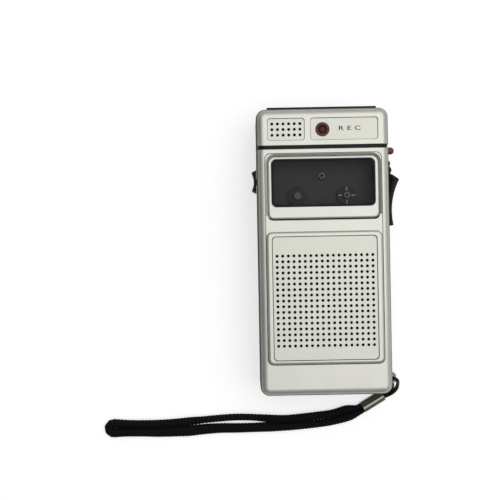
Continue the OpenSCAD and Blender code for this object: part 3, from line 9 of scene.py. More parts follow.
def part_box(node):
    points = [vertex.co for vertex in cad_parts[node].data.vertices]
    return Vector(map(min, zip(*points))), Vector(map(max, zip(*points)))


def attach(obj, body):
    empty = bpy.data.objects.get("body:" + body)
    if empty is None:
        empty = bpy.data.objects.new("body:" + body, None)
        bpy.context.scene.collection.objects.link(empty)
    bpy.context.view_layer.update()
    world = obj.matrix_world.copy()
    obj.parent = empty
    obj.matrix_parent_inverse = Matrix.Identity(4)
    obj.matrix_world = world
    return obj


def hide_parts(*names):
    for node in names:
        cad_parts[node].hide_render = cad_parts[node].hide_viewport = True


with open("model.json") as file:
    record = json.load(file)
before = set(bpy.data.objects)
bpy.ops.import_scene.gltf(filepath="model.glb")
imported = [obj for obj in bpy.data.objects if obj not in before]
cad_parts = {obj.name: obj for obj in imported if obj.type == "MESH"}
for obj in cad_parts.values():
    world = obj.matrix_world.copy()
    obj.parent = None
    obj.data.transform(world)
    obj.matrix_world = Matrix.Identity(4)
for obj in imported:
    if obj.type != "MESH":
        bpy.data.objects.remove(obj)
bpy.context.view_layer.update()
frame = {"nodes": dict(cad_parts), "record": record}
nodes = frame["nodes"]
scene = bpy.context.scene
scene.view_settings.view_transform = "Standard"
MM = 0.001


def box_mm(node):
    """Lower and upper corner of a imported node, in millimetres."""
    return [[round(v / MM, 4) for v in corner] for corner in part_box(node)]


def middle_of(node):
    """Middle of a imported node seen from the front, in millimetres."""
    low, high = box_mm(node)
    return (low[0] + high[0]) / 2, (low[1] + high[1]) / 2


# Camera: straight above the front, turned a little, as the machine lies in the photograph.
CAMERA_AT = (-0.03985, 0.00169, 0.481)
CAMERA_TURN = -1.05
CAMERA_LENS = 60.7
SENSOR_W = 36
NEAREST_SEEN = 0.01
cam_data = bpy.data.cameras.new("camera")
cam_data.sensor_width = SENSOR_W
cam_data.lens = CAMERA_LENS
cam_data.clip_start = NEAREST_SEEN
camera = bpy.data.objects.new("camera", cam_data)
camera.location = CAMERA_AT
camera.rotation_euler = (0, 0, math.radians(CAMERA_TURN))
scene.collection.objects.link(camera)
scene.camera = camera


# Paths and meshes
CURVE_STEPS = 24


def curve_through(points, step):
    """Points at an even step along a smooth curve through the given points."""
    p = [Vector(q) for q in points]
    dense = []
    for i in range(len(p) - 1):
        a = p[max(i - 1, 0)]
        b = p[i]
        c = p[i + 1]
        d = p[min(i + 2, len(p) - 1)]
        for k in range(CURVE_STEPS):
            t = k / CURVE_STEPS
            dense.append(0.5 * (2 * b + (c - a) * t + (2 * a - 5 * b + 4 * c - d) * t * t
                                + (3 * b - a - 3 * c + d) * t ** 3))
    dense.append(p[-1])
    total = sum((v - u).length for u, v in zip(dense, dense[1:]))
    count = max(2, round(total / step))
    spaced = [dense[0]]
    walked = 0.0
    for u, v in zip(dense, dense[1:]):
        run = (v - u).length
        while len(spaced) < count and walked + run >= len(spaced) * total / count:
            spaced.append(u.lerp(v, (len(spaced) * total / count - walked) / run))
        walked += run
    spaced.append(dense[-1])
    return spaced


def length_of(path):
    """Length of a path along its points."""
    return sum((v - u).length for u, v in zip(path, path[1:]))


def link(name, bm, material, body, smooth=True):
    """Turns a bmesh into a piece with its material and body."""
    bmesh.ops.recalc_face_normals(bm, faces=bm.faces)
    mesh = bpy.data.meshes.new(name)
    bm.to_mesh(mesh)
    bm.free()
    for face in mesh.polygons:
        face.use_smooth = smooth
    mesh.materials.append(material)
    piece = bpy.data.objects.new(name, mesh)
    scene.collection.objects.link(piece)
    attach(piece, body)
    return piece


def join_rings(bm, low, high):
    """Faces between two rings with the same number of points."""
    for k in range(len(low)):
        n = (k + 1) % len(low)
        bm.faces.new((low[k], low[n], high[n], high[k]))


def skin(bm, rings):
    """Faces along a row of rings, closed at both ends."""
    for low, high in zip(rings, rings[1:]):
        join_rings(bm, low, high)
    bm.faces.new(reversed(rings[0]))
    bm.faces.new(rings[-1])


def tube(path, sides, shape_at):
    """Closed tube along a path; shape_at(point, distance, angle) gives its section, across and up."""
    bm = bmesh.new()
    rings = []
    side = None
    walked = 0.0
    for i, p in enumerate(path):
        along = (path[min(i + 1, len(path) - 1)] - path[max(i - 1, 0)]).normalized()
        if side is None:
            side = Vector((0, 0, 1)).cross(along)
        side = (side - side.dot(along) * along).normalized()
        up = along.cross(side)
        if i:
            walked += (p - path[i - 1]).length
        ring = []
        for k in range(sides):
            x, z = shape_at(p, walked, 2 * math.pi * k / sides)
            ring.append(bm.verts.new(p + x * side + z * up))
        rings.append(ring)
    skin(bm, rings)
    return bm


def add_box(bm, low, high):
    """Adds a box between two corners, in millimetres."""
    corners = []
    for x in (low[0], high[0]):
        for y in (low[1], high[1]):
            for z in (low[2], high[2]):
                corners.append(bm.verts.new((x * MM, y * MM, z * MM)))
    for ids in ((0, 1, 3, 2), (4, 6, 7, 5), (0, 4, 5, 1), (2, 3, 7, 6), (0, 2, 6, 4), (1, 5, 7, 3)):
        bm.faces.new([corners[i] for i in ids])


# Materials
# Sizes of the slow drift in colour and gloss and of scuffs along edges, in metres
DRIFT_SIZE = 0.014
SCUFF_SIZE = 0.002
SCUFF_RANGE = (0.1, 0.7)
LIGHTEST = 0.95
# An edge is worn where the softened normal leaves the true one, by the cosine between them.
EDGE_SPAN = (0.75, 0.99)
EDGE_SAMPLES = 4
# Painted shade: lacquer is painted darker towards side walls, and loses its gloss there, by the size of
# the Z of its normal.
PAINTED_SHADE_SPAN = (0.4, 0.8)
GLOSS_SPAN = (0.6, 0.75)
LACQUER_SPECULAR = 0.3
# Clear plastic: sizes in metres
HAZE_SIZE = 0.012
HAZE_ALPHA = 0.02
SCRATCH_SIZE = 0.0005
SCRATCH_STRETCH = (1, 26, 1)
SCRATCH_DEPTH = 0.000001
# Yarn: sizes in metres
THREAD_SIZE = 0.00012
THREAD_STRETCH = (1, 3, 1)
THREAD_DEPTH = 0.00004
THREAD_ROUGH = (0.62, 0.85)
YARN_DRIFT_SIZE = 0.004


def linear(r, g, b):
    """Screen colour from 0 to 255 as linear light."""
    out = []
    for c in (r, g, b):
        c = c / 255
        out.append(c / 12.92 if c <= 0.04045 else ((c + 0.055) / 1.055) ** 2.4)
    return (out[0], out[1], out[2], 1.0)


def scaled(color, k):
    """A colour made k times as bright."""
    return (color[0] * k, color[1] * k, color[2] * k, 1.0)


class Nodes:
    """Short names for the nodes of one material."""

    def __init__(self, name):
        self.material = bpy.data.materials.new(name)
        self.material.use_nodes = True
        self.tree = self.material.node_tree
        self.shader = self.tree.nodes["Principled BSDF"]
        self.coord = self.tree.nodes.new("ShaderNodeTexCoord")

    def join(self, a, b):
        """Links an output to an input."""
        self.tree.links.new(a, b)

    def noise(self, size, detail=2.0, stretch=(1, 1, 1)):
        """Noise with features of a size in metres."""
        mapping = self.tree.nodes.new("ShaderNodeMapping")
        mapping.inputs["Scale"].default_value = stretch
        self.join(self.coord.outputs["Object"], mapping.inputs["Vector"])
        node = self.tree.nodes.new("ShaderNodeTexNoise")
        node.inputs["Scale"].default_value = 1 / size
        node.inputs["Detail"].default_value = detail
        self.join(mapping.outputs["Vector"], node.inputs["Vector"])
        return node.outputs["Fac"]

    def spread(self, value, low, high, start=0.3, end=0.7):
        """A value between start and end mapped to the range low to high."""
        node = self.tree.nodes.new("ShaderNodeMapRange")
        node.inputs["From Min"].default_value = start
        node.inputs["From Max"].default_value = end
        node.inputs["To Min"].default_value = low
        node.inputs["To Max"].default_value = high
        self.join(value, node.inputs["Value"])
        return node.outputs["Result"]

    def mix(self, factor, a, b):
        """Colour between a and b; each is a colour or a socket."""
        node = self.tree.nodes.new("ShaderNodeMix")
        node.data_type = "RGBA"
        self.join(factor, node.inputs["Factor"])
        sockets = [s for s in node.inputs if s.type == "RGBA"]
        for socket, value in zip(sockets, (a, b)):
            if isinstance(value, tuple):
                socket.default_value = value
            else:
                self.join(value, socket)
        return [s for s in node.outputs if s.type == "RGBA"][0]

    def edges(self, radius):
        """Softened normal near edges, and a mask that is 1 along them."""
        bevel = self.tree.nodes.new("ShaderNodeBevel")
        bevel.samples = EDGE_SAMPLES
        bevel.inputs["Radius"].default_value = radius
        geometry = self.tree.nodes.new("ShaderNodeNewGeometry")
        dot = self.tree.nodes.new("ShaderNodeVectorMath")
        dot.operation = "DOT_PRODUCT"
        self.join(bevel.outputs["Normal"], dot.inputs[0])
        self.join(geometry.outputs["Normal"], dot.inputs[1])
        return bevel.outputs["Normal"], self.spread(dot.outputs["Value"], 1, 0, *EDGE_SPAN)

    def upright(self):
        """1 on faces along the object's own Z axis and 0 on its side walls."""
        parts = self.tree.nodes.new("ShaderNodeSeparateXYZ")
        self.join(self.coord.outputs["Normal"], parts.inputs[0])
        size = self.tree.nodes.new("ShaderNodeMath")
        size.operation = "ABSOLUTE"
        self.join(parts.outputs["Z"], size.inputs[0])
        return size.outputs[0]

    def bump(self, height, depth, normal=None):
        """Relief of a depth in metres, on top of a normal if one is given."""
        node = self.tree.nodes.new("ShaderNodeBump")
        node.inputs["Strength"].default_value = 1.0
        node.inputs["Distance"].default_value = depth
        self.join(height, node.inputs["Height"])
        if normal is not None:
            self.join(normal, node.inputs["Normal"])
        self.join(node.outputs["Normal"], self.shader.inputs["Normal"])

    def set(self, **values):
        """Constant values for inputs of the shader; an underscore stands for a space."""
        for name, value in values.items():
            self.shader.inputs[name.replace("_", " ")].default_value = value


def surface(name, color, rough, metallic=0.0, grain=0.0003, depth=0.000006, drift=0.05, uneven=0.06,
            edge=0.0, edge_light=1.3, stretch=(1, 1, 1), side=1.0, **values):
    """Material with fine grain, slow drift, uneven gloss and, if asked, worn edges or painted shade on its
    side walls.
    """
    n = Nodes(name)
    fine = n.noise(grain, 3, stretch)
    broad = n.noise(DRIFT_SIZE, 3)
    shade = n.mix(n.spread(broad, 0, 1), scaled(color, 1 - drift), scaled(color, 1 + drift))
    shade = n.mix(n.spread(fine, 0, 0.5), shade, scaled(color, 1 - 2 * drift))
    # Painted shade: side walls get the colour times side, and their metallic gloss and specular fall away.
    if side < 1:
        upright = n.upright()
        shade = n.mix(n.spread(upright, 1, 0, *PAINTED_SHADE_SPAN), shade, scaled(color, side))
        n.join(n.spread(upright, 0, metallic, *GLOSS_SPAN), n.shader.inputs["Metallic"])
        specular = n.spread(upright, 0, LACQUER_SPECULAR, *GLOSS_SPAN)
        n.join(specular, n.shader.inputs["Specular IOR Level"])
    else:
        n.set(Metallic=metallic)
    normal = None
    if edge:
        normal, mask = n.edges(edge)
        worn = tuple(min(c * edge_light, LIGHTEST) for c in color[:3]) + (1.0,)
        scuff = n.tree.nodes.new("ShaderNodeMath")
        scuff.operation = "MULTIPLY"
        n.join(mask, scuff.inputs[0])
        n.join(n.spread(n.noise(SCUFF_SIZE, 2), *SCUFF_RANGE), scuff.inputs[1])
        shade = n.mix(scuff.outputs[0], shade, worn)
    n.join(shade, n.shader.inputs["Base Color"])
    gloss = n.tree.nodes.new("ShaderNodeMath")
    gloss.operation = "ADD"
    n.join(n.spread(broad, -uneven / 2, uneven / 2), gloss.inputs[0])
    n.join(n.spread(fine, rough - uneven / 2, rough + uneven / 2), gloss.inputs[1])
    n.join(gloss.outputs[0], n.shader.inputs["Roughness"])
    n.set(**values)
    n.bump(fine, depth, normal)
    return n.material


SILVER = linear(228, 228, 219)
PLATE = linear(240, 240, 229)
BLACK = linear(16, 16, 18)

# Both silver lacquers carry painted shade on their side walls; side is the share of their colour left
# there.
materials = {
    "housing_silver": surface("satin_silver_lacquer", SILVER, 0.36, 0.7, grain=0.00022, depth=0.000004,
                              drift=0.02, edge=0.00025, edge_light=1.1, side=0.52),
    "panel_silver": surface("satin_silver_lacquer_lighter_shade", SILVER, 0.36, 0.7, grain=0.00022, depth=0.000004,
                            drift=0.02, edge=0.00025, edge_light=1.1, side=0.7),
    "grille_silver": surface("matt_silver_plate", PLATE, 0.42, 0.5, grain=0.00018, depth=0.000004,
                             drift=0.025, edge=0.00012, edge_light=1.08),
    "black_plastic": surface("satin_black_plastic", BLACK, 0.48, grain=0.0003, depth=0.00001, drift=0.12,
                             edge=0.0003, edge_light=1.6, Specular_IOR_Level=0.3),
    "well_plastic": surface("dark_well_plastic", linear(76, 76, 76), 0.5, grain=0.0004, depth=0.00001),
    "deck_plastic": surface("moulded_grey_plastic", linear(36, 36, 37), 0.45, grain=0.0003,
                            depth=0.00001, edge=0.0003, edge_light=2.4),
    "pale_plastic": surface("pale_moulded_plastic", linear(236, 235, 226), 0.4, grain=0.0003,
                            depth=0.000008, edge=0.0002, edge_light=1.1),
    "steel": surface("brushed_steel", linear(176, 178, 182), 0.32, 1.0, grain=0.0004, depth=0.000004,
                     stretch=(1, 12, 1), edge=0.0001),
    "bright_metal": surface("polished_plate", linear(170, 167, 155), 0.26, 1.0, grain=0.0006,
                            depth=0.000004, drift=0.06, edge=0.0002, edge_light=1.15),
    "brass": surface("turned_brass", linear(196, 170, 106), 0.3, 1.0, grain=0.0003, depth=0.000004,
                     edge=0.0001),
    "red_plastic": surface("gloss_red_plastic", linear(124, 44, 50), 0.38, grain=0.0004, depth=0.000004,
                           drift=0.06, Coat_Weight=0.3, Coat_Roughness=0.12),
    "lamp_core": surface("dark_red_lens", linear(96, 24, 31), 0.5, grain=0.0004, depth=0.000003,
                         drift=0.12),
    "felt": surface("black_felt", linear(10, 10, 11), 0.95, grain=0.00015, depth=0.00005, drift=0.2),
    "rubber": surface("matt_rubber", linear(40, 40, 41), 0.75, grain=0.0002, depth=0.00001, drift=0.1),
    "board": surface("lacquered_board", linear(38, 104, 66), 0.35, grain=0.0012, depth=0.00001, drift=0.1),
    "components": surface("moulded_cases", linear(52, 52, 56), 0.4, grain=0.0002, depth=0.000008,
                          edge=0.0002, edge_light=1.6),
    "cell_jacket": surface("printed_film", linear(120, 132, 150), 0.3, 0.6, grain=0.001, depth=0.000004,
                           drift=0.08),
    "contact": surface("plated_contact", linear(206, 198, 172), 0.28, 1.0, grain=0.0003, depth=0.000004),
    "magnet": surface("ferrite", linear(70, 70, 72), 0.6, grain=0.0003, depth=0.00002, drift=0.12),
    "paper_cone": surface("pressed_paper", linear(46, 45, 44), 0.85, grain=0.0003, depth=0.00004,
                          drift=0.15),
    "leader_cord": surface("smooth_black_cord", linear(12, 12, 14), 0.42, grain=0.0004, depth=0.000008,
                           drift=0.15, Specular_IOR_Level=0.3),
    "post_brass": surface("aged_brass", linear(178, 168, 130), 0.35, 1.0, grain=0.0003, depth=0.000004,
                          edge=0.0001),
    "hub_grey": surface("grey_hub_plastic", linear(168, 168, 163), 0.45, grain=0.0003, depth=0.000008,
                        edge=0.0002, edge_light=1.2),
    "print": surface("dark_print", linear(66, 64, 60), 0.6, grain=0.0002, depth=0.000002, drift=0.1),
}


def smoked(name, color, alpha, rough, **values):
    """Clear tinted plastic with faint haze and fine scratches."""
    n = Nodes(name)
    haze = n.noise(HAZE_SIZE, 3)
    scratch = n.noise(SCRATCH_SIZE, 2, SCRATCH_STRETCH)
    tint = n.mix(n.spread(haze, 0, 1), scaled(color, 0.9), scaled(color, 1.1))
    n.join(tint, n.shader.inputs["Base Color"])
    n.join(n.spread(scratch, rough * 0.7, rough * 1.5), n.shader.inputs["Roughness"])
    n.join(n.spread(haze, alpha - HAZE_ALPHA, alpha + HAZE_ALPHA), n.shader.inputs["Alpha"])
    n.set(**values)
    n.bump(scratch, SCRATCH_DEPTH)
    return n.material


materials["smoke_window"] = smoked("smoked_window", linear(40, 40, 42), 0.22, 0.14,
                                   Specular_IOR_Level=0.25)
materials["lamp_lens"] = smoked("rose_lens", linear(96, 60, 59), 0.88, 0.4)


def woven(name, color, sheen):
    """Braided yarn: fine threads across a dark, soft surface."""
    n = Nodes(name)
    thread = n.noise(THREAD_SIZE, 2, THREAD_STRETCH)
    broad = n.noise(YARN_DRIFT_SIZE, 2)
    shade = n.mix(n.spread(thread, 0, 1), scaled(color, 0.5), scaled(color, 1.7))
    shade = n.mix(n.spread(broad, 0, 0.4), shade, scaled(color, 0.8))
    n.join(shade, n.shader.inputs["Base Color"])
    n.join(n.spread(thread, *THREAD_ROUGH), n.shader.inputs["Roughness"])
    n.set(Sheen_Weight=sheen, Sheen_Roughness=0.4, Specular_IOR_Level=0.2)
    n.bump(thread, THREAD_DEPTH)
    return n.material


materials["cord_braid"] = woven("black_braid", linear(6, 7, 9), 0.02)

# Two nodes get the silver lacquer with lighter painted shade on their side walls; every other node has the
# material of its slot.
less_shaded_nodes = {"front_panel": "panel_silver", "cassette_door": "panel_silver"}
for part in frame["record"]["subparts"]:
    mesh = nodes[part["node"]].data
    mesh.materials.clear()
    mesh.materials.append(materials[less_shaded_nodes.get(part["node"], part["material_slot"])])

# Wrist strap: the braided cord, its folded ferrule and the smooth leader loop.
CORD_D = 0.0042
CORD_Z = 0.0022
CORD_STEP = 0.0003
CORD_SIDES = 48
CORD_ROUTE = [
    (21.7, -87.5), (19.1, -89), (13.4, -89.8), (5, -92), (-4, -93.1), (-13, -94), (-22, -94.6),
    (-31, -94.1), (-40, -93.3), (-49, -93), (-58, -93.4), (-67, -94.1), (-76, -95), (-85, -95.8),
    (-94, -96.2), (-103, -96.2), (-110, -96), (-116, -95.7), (-119.1, -95.6), (-120.9, -96.4),
    (-121.7, -98.2), (-120.9, -100), (-119.1, -100.8), (-116, -100.7), (-110, -100.7), (-103, -100.8),
    (-94, -101), (-85, -100.8), (-76, -100.4), (-67, -99.6), (-58, -99.2), (-49, -99.3), (-40, -99.2),
    (-31, -99), (-22, -99), (-13, -98.4), (-4, -97.6), (5, -96.4), (15, -93.9), (20.6, -91.5),
    (23.2, -90),
]
LEADER_ROUTE = [
    (34.5, -82.8, 2.4), (36.8, -81.8, 2.8), (39, -80.4, 4), (40.5, -78.6, 5.6), (41.3, -76.6, 7.4),
    (41.4, -74.4, 9.4), (40.9, -72.6, 11.4), (39.6, -71.4, 12.3), (38, -71, 11.7), (37.2, -71, 10.2),
    (37.4, -71.4, 8.6), (38.2, -72.4, 7.2), (38.9, -74.4, 6), (39, -76.8, 4.8), (37.9, -78.6, 3.8),
    (36, -79.4, 2.9), (33.4, -80.9, 2.4),
]
cord_path = curve_through([(x * MM, y * MM, CORD_Z) for x, y in CORD_ROUTE], CORD_STEP)
cord_length = length_of(cord_path)

BRAID_PITCH = 0.002
BRAID_RISE = 0.00045
BRAID_SLANT = 0.9
BRAID_ROUND = 0.7
# The cord is pinched to a share of its thickness at the ferrule, and is full again a little further on.
PINCH = 0.74
PINCH_START = 0.001
PINCH_END = 0.01
TALLEST = 1.03
# How wide the soft cord lies at each x: the upper run is partly on edge, the lower one partly flat.
UPPER_LIE = [
    (-120, 1.28), (-110, 1.18), (-85, 1.18), (-76, 1.16), (-67, 0.97), (-40, 0.94), (-31, 1.06),
    (-22, 1.1), (5, 1.1), (12, 1.16),
]
LOWER_LIE = [
    (-120, 1.28), (-110, 1.18), (-100, 1.2), (-94, 1.28), (-85, 1.38), (-76, 1.52), (-67, 1.47),
    (-58, 1.38), (-40, 1.32), (-31, 1.38), (-22, 1.16), (5, 1.1), (12, 1.16),
]


def ramp(x, start, end):
    """Smooth step from 0 at start to 1 at end."""
    t = min(max((x - start) / (end - start), 0.0), 1.0)
    return t * t * (3 - 2 * t)


def lie(x, run):
    """Width of the cord at x, as a share of its round diameter."""
    wide = run[0][1]
    for (x0, w0), (x1, w1) in zip(run, run[1:]):
        wide += (w1 - w0) * ramp(x, x0, x1)
    return wide


def braid_shape(point, walked, angle):
    """Section of a cord with slanting braid ribs, pinched where it enters the ferrule."""
    rib = abs(math.sin(math.pi * (walked / BRAID_PITCH - BRAID_SLANT * abs(math.sin(angle)))))
    free = ramp(min(walked, cord_length - walked), PINCH_START, PINCH_END)
    r = (PINCH + (1 - PINCH) * free) * (CORD_D / 2 - BRAID_RISE * (1 - rib ** BRAID_ROUND))
    wide = lie(point.x / MM, UPPER_LIE if walked < cord_length / 2 else LOWER_LIE)
    wide = 1 + (wide - 1) * free
    high = min(1 / wide, TALLEST)
    return r * wide * math.cos(angle), r * high * math.sin(angle) - (1 - high) * CORD_D / 2


cord = link("wrist_cord_braided", tube(cord_path, CORD_SIDES, braid_shape), materials["cord_braid"],
            "housing")
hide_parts("wrist_cord")

LEADER_R = 0.0012
LEADER_R_AT_STAPLE = 0.001
LEADER_STEP = 0.0004
LEADER_SIDES = 20
# The leader thins out between these places along the machine, in millimetres.
SQUEEZE_START = -78
SQUEEZE_END = -75
leader_path = curve_through([(x * MM, y * MM, z * MM) for x, y, z in LEADER_ROUTE], LEADER_STEP)


def leader_shape(point, walked, angle):
    """Round cord that is squeezed a little where it passes the staple."""
    r = LEADER_R + (LEADER_R_AT_STAPLE - LEADER_R) * ramp(point.y / MM, SQUEEZE_START, SQUEEZE_END)
    return r * math.cos(angle), r * math.sin(angle)


leader = link("strap_leader_loop", tube(leader_path, LEADER_SIDES, leader_shape), materials["leader_cord"],
              "housing")
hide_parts("strap_leader")

# Ferrule, in millimetres: a roof-shaped section along the strap.
FERRULE_AT = (28.2, -85.3, 0.1)
FERRULE_ANGLE = 31
FERRULE_HALF_L = 6.7
FERRULE_SOFT = 0.22
FERRULE_SECTION = [
    (-3.1, 0.8), (-2.3, 0), (2.3, 0), (3.1, 0.8), (3.1, 2.8), (-0.2, 4.4), (-1.1, 4.4), (-3.1, 3.1),
]
FERRULE_RINGS = (-1, -0.33, 0.33, 1)
SHARP_ANGLE = 0.3


def ferrule_mesh():
    """Roof-shaped folded clamp with soft edges, along its own axis."""
    bm = bmesh.new()
    rings = []
    for share in FERRULE_RINGS:
        x = share * FERRULE_HALF_L
        rings.append([bm.verts.new((x * MM, y * MM, z * MM)) for y, z in FERRULE_SECTION])
    skin(bm, rings)
    bmesh.ops.recalc_face_normals(bm, faces=bm.faces)
    sharp = [e for e in bm.edges if e.calc_face_angle() > SHARP_ANGLE]
    bmesh.ops.bevel(bm, geom=sharp, offset=FERRULE_SOFT * MM, segments=3, profile=0.5, affect="EDGES")
    turn = Matrix.Rotation(math.radians(FERRULE_ANGLE), 4, "Z")
    place = Matrix.Translation(Vector(FERRULE_AT) * MM) @ turn
    bmesh.ops.transform(bm, matrix=place, verts=bm.verts)
    return bm


ferrule = link("strap_ferrule_folded", ferrule_mesh(), materials["bright_metal"], "housing",
               smooth=False)
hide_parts("strap_ferrule")


# Side slides with rounded edges, in millimetres. Places along a slide count from its end nearest the foot.
WALL = box_mm("front_shell")[1][0]
SLIDE_GAP = 0.3
SLIDE_STEP = 0.15
SLIDE_ROUND = 0.9
ROUND_STEPS = 5
END_ROUND = 0.5
# The outline is softened by its mean over this many steps to each side.
MEAN_STEP = 0.1
MEAN_REACH = 4
STEM_LAP = 0.6
STEM_HALF_H = 2
WELD = 0.000002


def slide_outline(length, height):
    """Places along a slide with how far it stands out there, softened and with round ends."""
    count = round(length / SLIDE_STEP)
    outline = []
    for i in range(count + 1):
        at = length * i / count
        near = []
        for k in range(-MEAN_REACH, MEAN_REACH + 1):
            near.append(height(min(max(at + MEAN_STEP * k, 0), length)))
        short = max(END_ROUND - min(at, length - at), 0)
        drop = END_ROUND - math.sqrt(max(END_ROUND ** 2 - short ** 2, 0))
        outline.append((at, sum(near) / len(near) - drop))
    return outline


def slide_mesh(node, side, height, stem_from, stem_to):
    """Slide on a side wall with a stem through it; height(at) gives how far it stands out."""
    low, high = box_mm(node)
    outline = slide_outline(high[1] - low[1], height)
    levels = []
    for k in range(ROUND_STEPS + 1):
        a = math.pi / 2 * k / ROUND_STEPS
        levels.append((SLIDE_ROUND * (1 - math.cos(a)), SLIDE_ROUND * (1 - math.sin(a))))
    rows = [(low[2] + z, d) for z, d in levels]
    rows += [(high[2] - z, d) for z, d in reversed(levels)]
    bm = bmesh.new()
    grid = []
    for z, d in rows:
        line = []
        for at, out in outline:
            x = side * (WALL + max(SLIDE_GAP, out - d))
            line.append(bm.verts.new((x * MM, (low[1] + at) * MM, z * MM)))
        foot = []
        for at, out in outline:
            x = side * (WALL + SLIDE_GAP)
            foot.append(bm.verts.new((x * MM, (low[1] + at) * MM, z * MM)))
        grid.append((line, foot))
    last = len(outline) - 1
    for (low_line, low_foot), (high_line, high_foot) in zip(grid, grid[1:]):
        for i in range(last):
            bm.faces.new((low_line[i], low_line[i + 1], high_line[i + 1], high_line[i]))
            bm.faces.new((low_foot[i], high_foot[i], high_foot[i + 1], low_foot[i + 1]))
        for i in (0, last):
            bm.faces.new((low_line[i], high_line[i], high_foot[i], low_foot[i]))
    for line, foot in (grid[0], grid[-1]):
        for i in range(last):
            bm.faces.new((line[i], foot[i], foot[i + 1], line[i + 1]))
    bmesh.ops.remove_doubles(bm, verts=bm.verts, dist=WELD)
    bmesh.ops.dissolve_degenerate(bm, dist=WELD, edges=bm.edges)
    inner = min(abs(low[0]), abs(high[0]))
    x0, x1 = sorted((side * inner, side * (WALL + STEM_LAP)))
    z = (low[2] + high[2]) / 2
    add_box(bm, (x0, low[1] + stem_from, z - STEM_HALF_H), (x1, low[1] + stem_to, z + STEM_HALF_H))
    return bm


# Thumb slide: a round scoop up to its crest, a steep back and a ridge of two bumps.
SCOOP_R = 36.6
SCOOP_AT = 7.8
SCOOP_LEAST = 1.9
CREST_AT = 25
CREST_OUT = 6.2
BACK_AT = 27.9
BACK_OUT = 2.1
RIDGE_OUT = 1.05
FIRST_BUMP_R = 2.1
FIRST_BUMP_AT = 30
SECOND_BUMP_R = 1.9
SECOND_BUMP_AT = 33.5
SECOND_BUMP_SUNK = 0.5
THUMB_STEM_FROM = 12.4
THUMB_STEM_TO = 22.4


def arc(r, away):
    """Height of a circle of radius r at a distance from its middle."""
    return math.sqrt(max(r ** 2 - away ** 2, 0))


def thumb_height(at):
    """Scooped thumb slide with a two-bump ridge beyond its crest."""
    if at <= CREST_AT:
        return SCOOP_LEAST + SCOOP_R - arc(SCOOP_R, at - SCOOP_AT)
    if at <= BACK_AT:
        return CREST_OUT - (CREST_OUT - BACK_OUT) * (at - CREST_AT) / (BACK_AT - CREST_AT)
    first = arc(FIRST_BUMP_R, at - FIRST_BUMP_AT)
    second = arc(SECOND_BUMP_R, at - SECOND_BUMP_AT) - SECOND_BUMP_SUNK
    return max(RIDGE_OUT, first, second)


# Volume slide: sloping ends and a round hollow.
volume_low, volume_high = box_mm("volume_slide")
volume_middle = (volume_high[1] - volume_low[1]) / 2
VOLUME_OUT = 2.8
VOLUME_DROP = 2.5
VOLUME_FLAT = 5
HOLLOW_R = 10.5
HOLLOW_LEAST = 1.6
VOLUME_STEM_HALF_W = 1.5


def volume_height(at):
    """Slide with sloping ends and a round hollow."""
    away = abs(at - volume_middle)
    slope = VOLUME_OUT
    if away >= VOLUME_FLAT:
        slope -= VOLUME_DROP * (away - VOLUME_FLAT) / (volume_middle - VOLUME_FLAT)
    return min(slope, HOLLOW_LEAST + HOLLOW_R - arc(HOLLOW_R, away))


thumb_mesh = slide_mesh("thumb_slide", 1, thumb_height, THUMB_STEM_FROM, THUMB_STEM_TO)
thumb = link("thumb_slide_cap", thumb_mesh, materials["black_plastic"], "thumb")
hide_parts("thumb_slide")
volume_mesh = slide_mesh("volume_slide", -1, volume_height, volume_middle - VOLUME_STEM_HALF_W,
                         volume_middle + VOLUME_STEM_HALF_W)
volume = link("volume_slide_cap", volume_mesh, materials["black_plastic"], "volume")
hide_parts("volume_slide")


# Spindle tops and guide post under the window, in millimetres
BAR_SOFT = 0.12
RING_SOFT = 0.3
SOFT_SHARE = 0.25
SOFT_STEP = 0.3
CORNER_STEPS = 8
LEAST_CORNER = 0.05


def turned(middle, angle):
    """Turn about the vertical, then a move to a middle in millimetres."""
    turn = Matrix.Rotation(math.radians(angle), 4, "Z")
    return Matrix.Translation((middle[0] * MM, middle[1] * MM, 0)) @ turn


def lathe(profile, middle, base, sides=48):
    """Solid of revolution about a vertical axis; profile lists radius and height above the base."""
    bm = bmesh.new()
    rings = []
    for r, z in profile:
        ring = []
        for k in range(sides):
            a = 2 * math.pi * k / sides
            x = middle[0] + r * math.cos(a)
            y = middle[1] + r * math.sin(a)
            ring.append(bm.verts.new((x * MM, y * MM, (base + z) * MM)))
        rings.append(ring)
    skin(bm, rings)
    return bm


def bars(middle, inner, outer, width, z0, z1, turns):
    """Upright bars with soft edges that point away from a middle."""
    bm = bmesh.new()
    for turn in turns:
        bar = bmesh.new()
        add_box(bar, (inner, -width / 2, z0), (outer, width / 2, z1))
        bmesh.ops.recalc_face_normals(bar, faces=bar.faces)
        bmesh.ops.bevel(bar, geom=bar.edges[:], offset=BAR_SOFT * MM, segments=2, profile=0.5,
                        affect="EDGES")
        bmesh.ops.transform(bar, matrix=turned(middle, turn), verts=bar.verts)
        mesh = bpy.data.meshes.new("bar")
        bar.to_mesh(mesh)
        bar.free()
        bm.from_mesh(mesh)
        bpy.data.meshes.remove(mesh)
    return bm


def rounded_ring(size, r, width, z0, z1, middle, turn=0.0):
    """Flat frame with round corners and a round upper edge."""
    soft = min(RING_SOFT, SOFT_SHARE * width)
    step = SOFT_STEP * soft
    profile = [(0, z0), (0, z1 - soft), (step, z1 - step), (soft, z1), (width - soft, z1),
               (width - step, z1 - step), (width, z1 - soft), (width, z0)]
    bm = bmesh.new()
    place = turned(middle, turn)
    loops = []
    for inset, z in profile:
        loop = []
        corner = max(r - inset, LEAST_CORNER)
        for quarter, (sx, sy) in enumerate(((1, 1), (-1, 1), (-1, -1), (1, -1))):
            for k in range(CORNER_STEPS + 1):
                a = math.pi / 2 * (quarter + k / CORNER_STEPS)
                x = sx * (size[0] / 2 - inset - corner) + corner * math.cos(a)
                y = sy * (size[1] / 2 - inset - corner) + corner * math.sin(a)
                loop.append(bm.verts.new(place @ Vector((x * MM, y * MM, z * MM))))
        loops.append(loop)
    for low, high in zip(loops, loops[1:] + loops[:1]):
        join_rings(bm, low, high)
    return bm


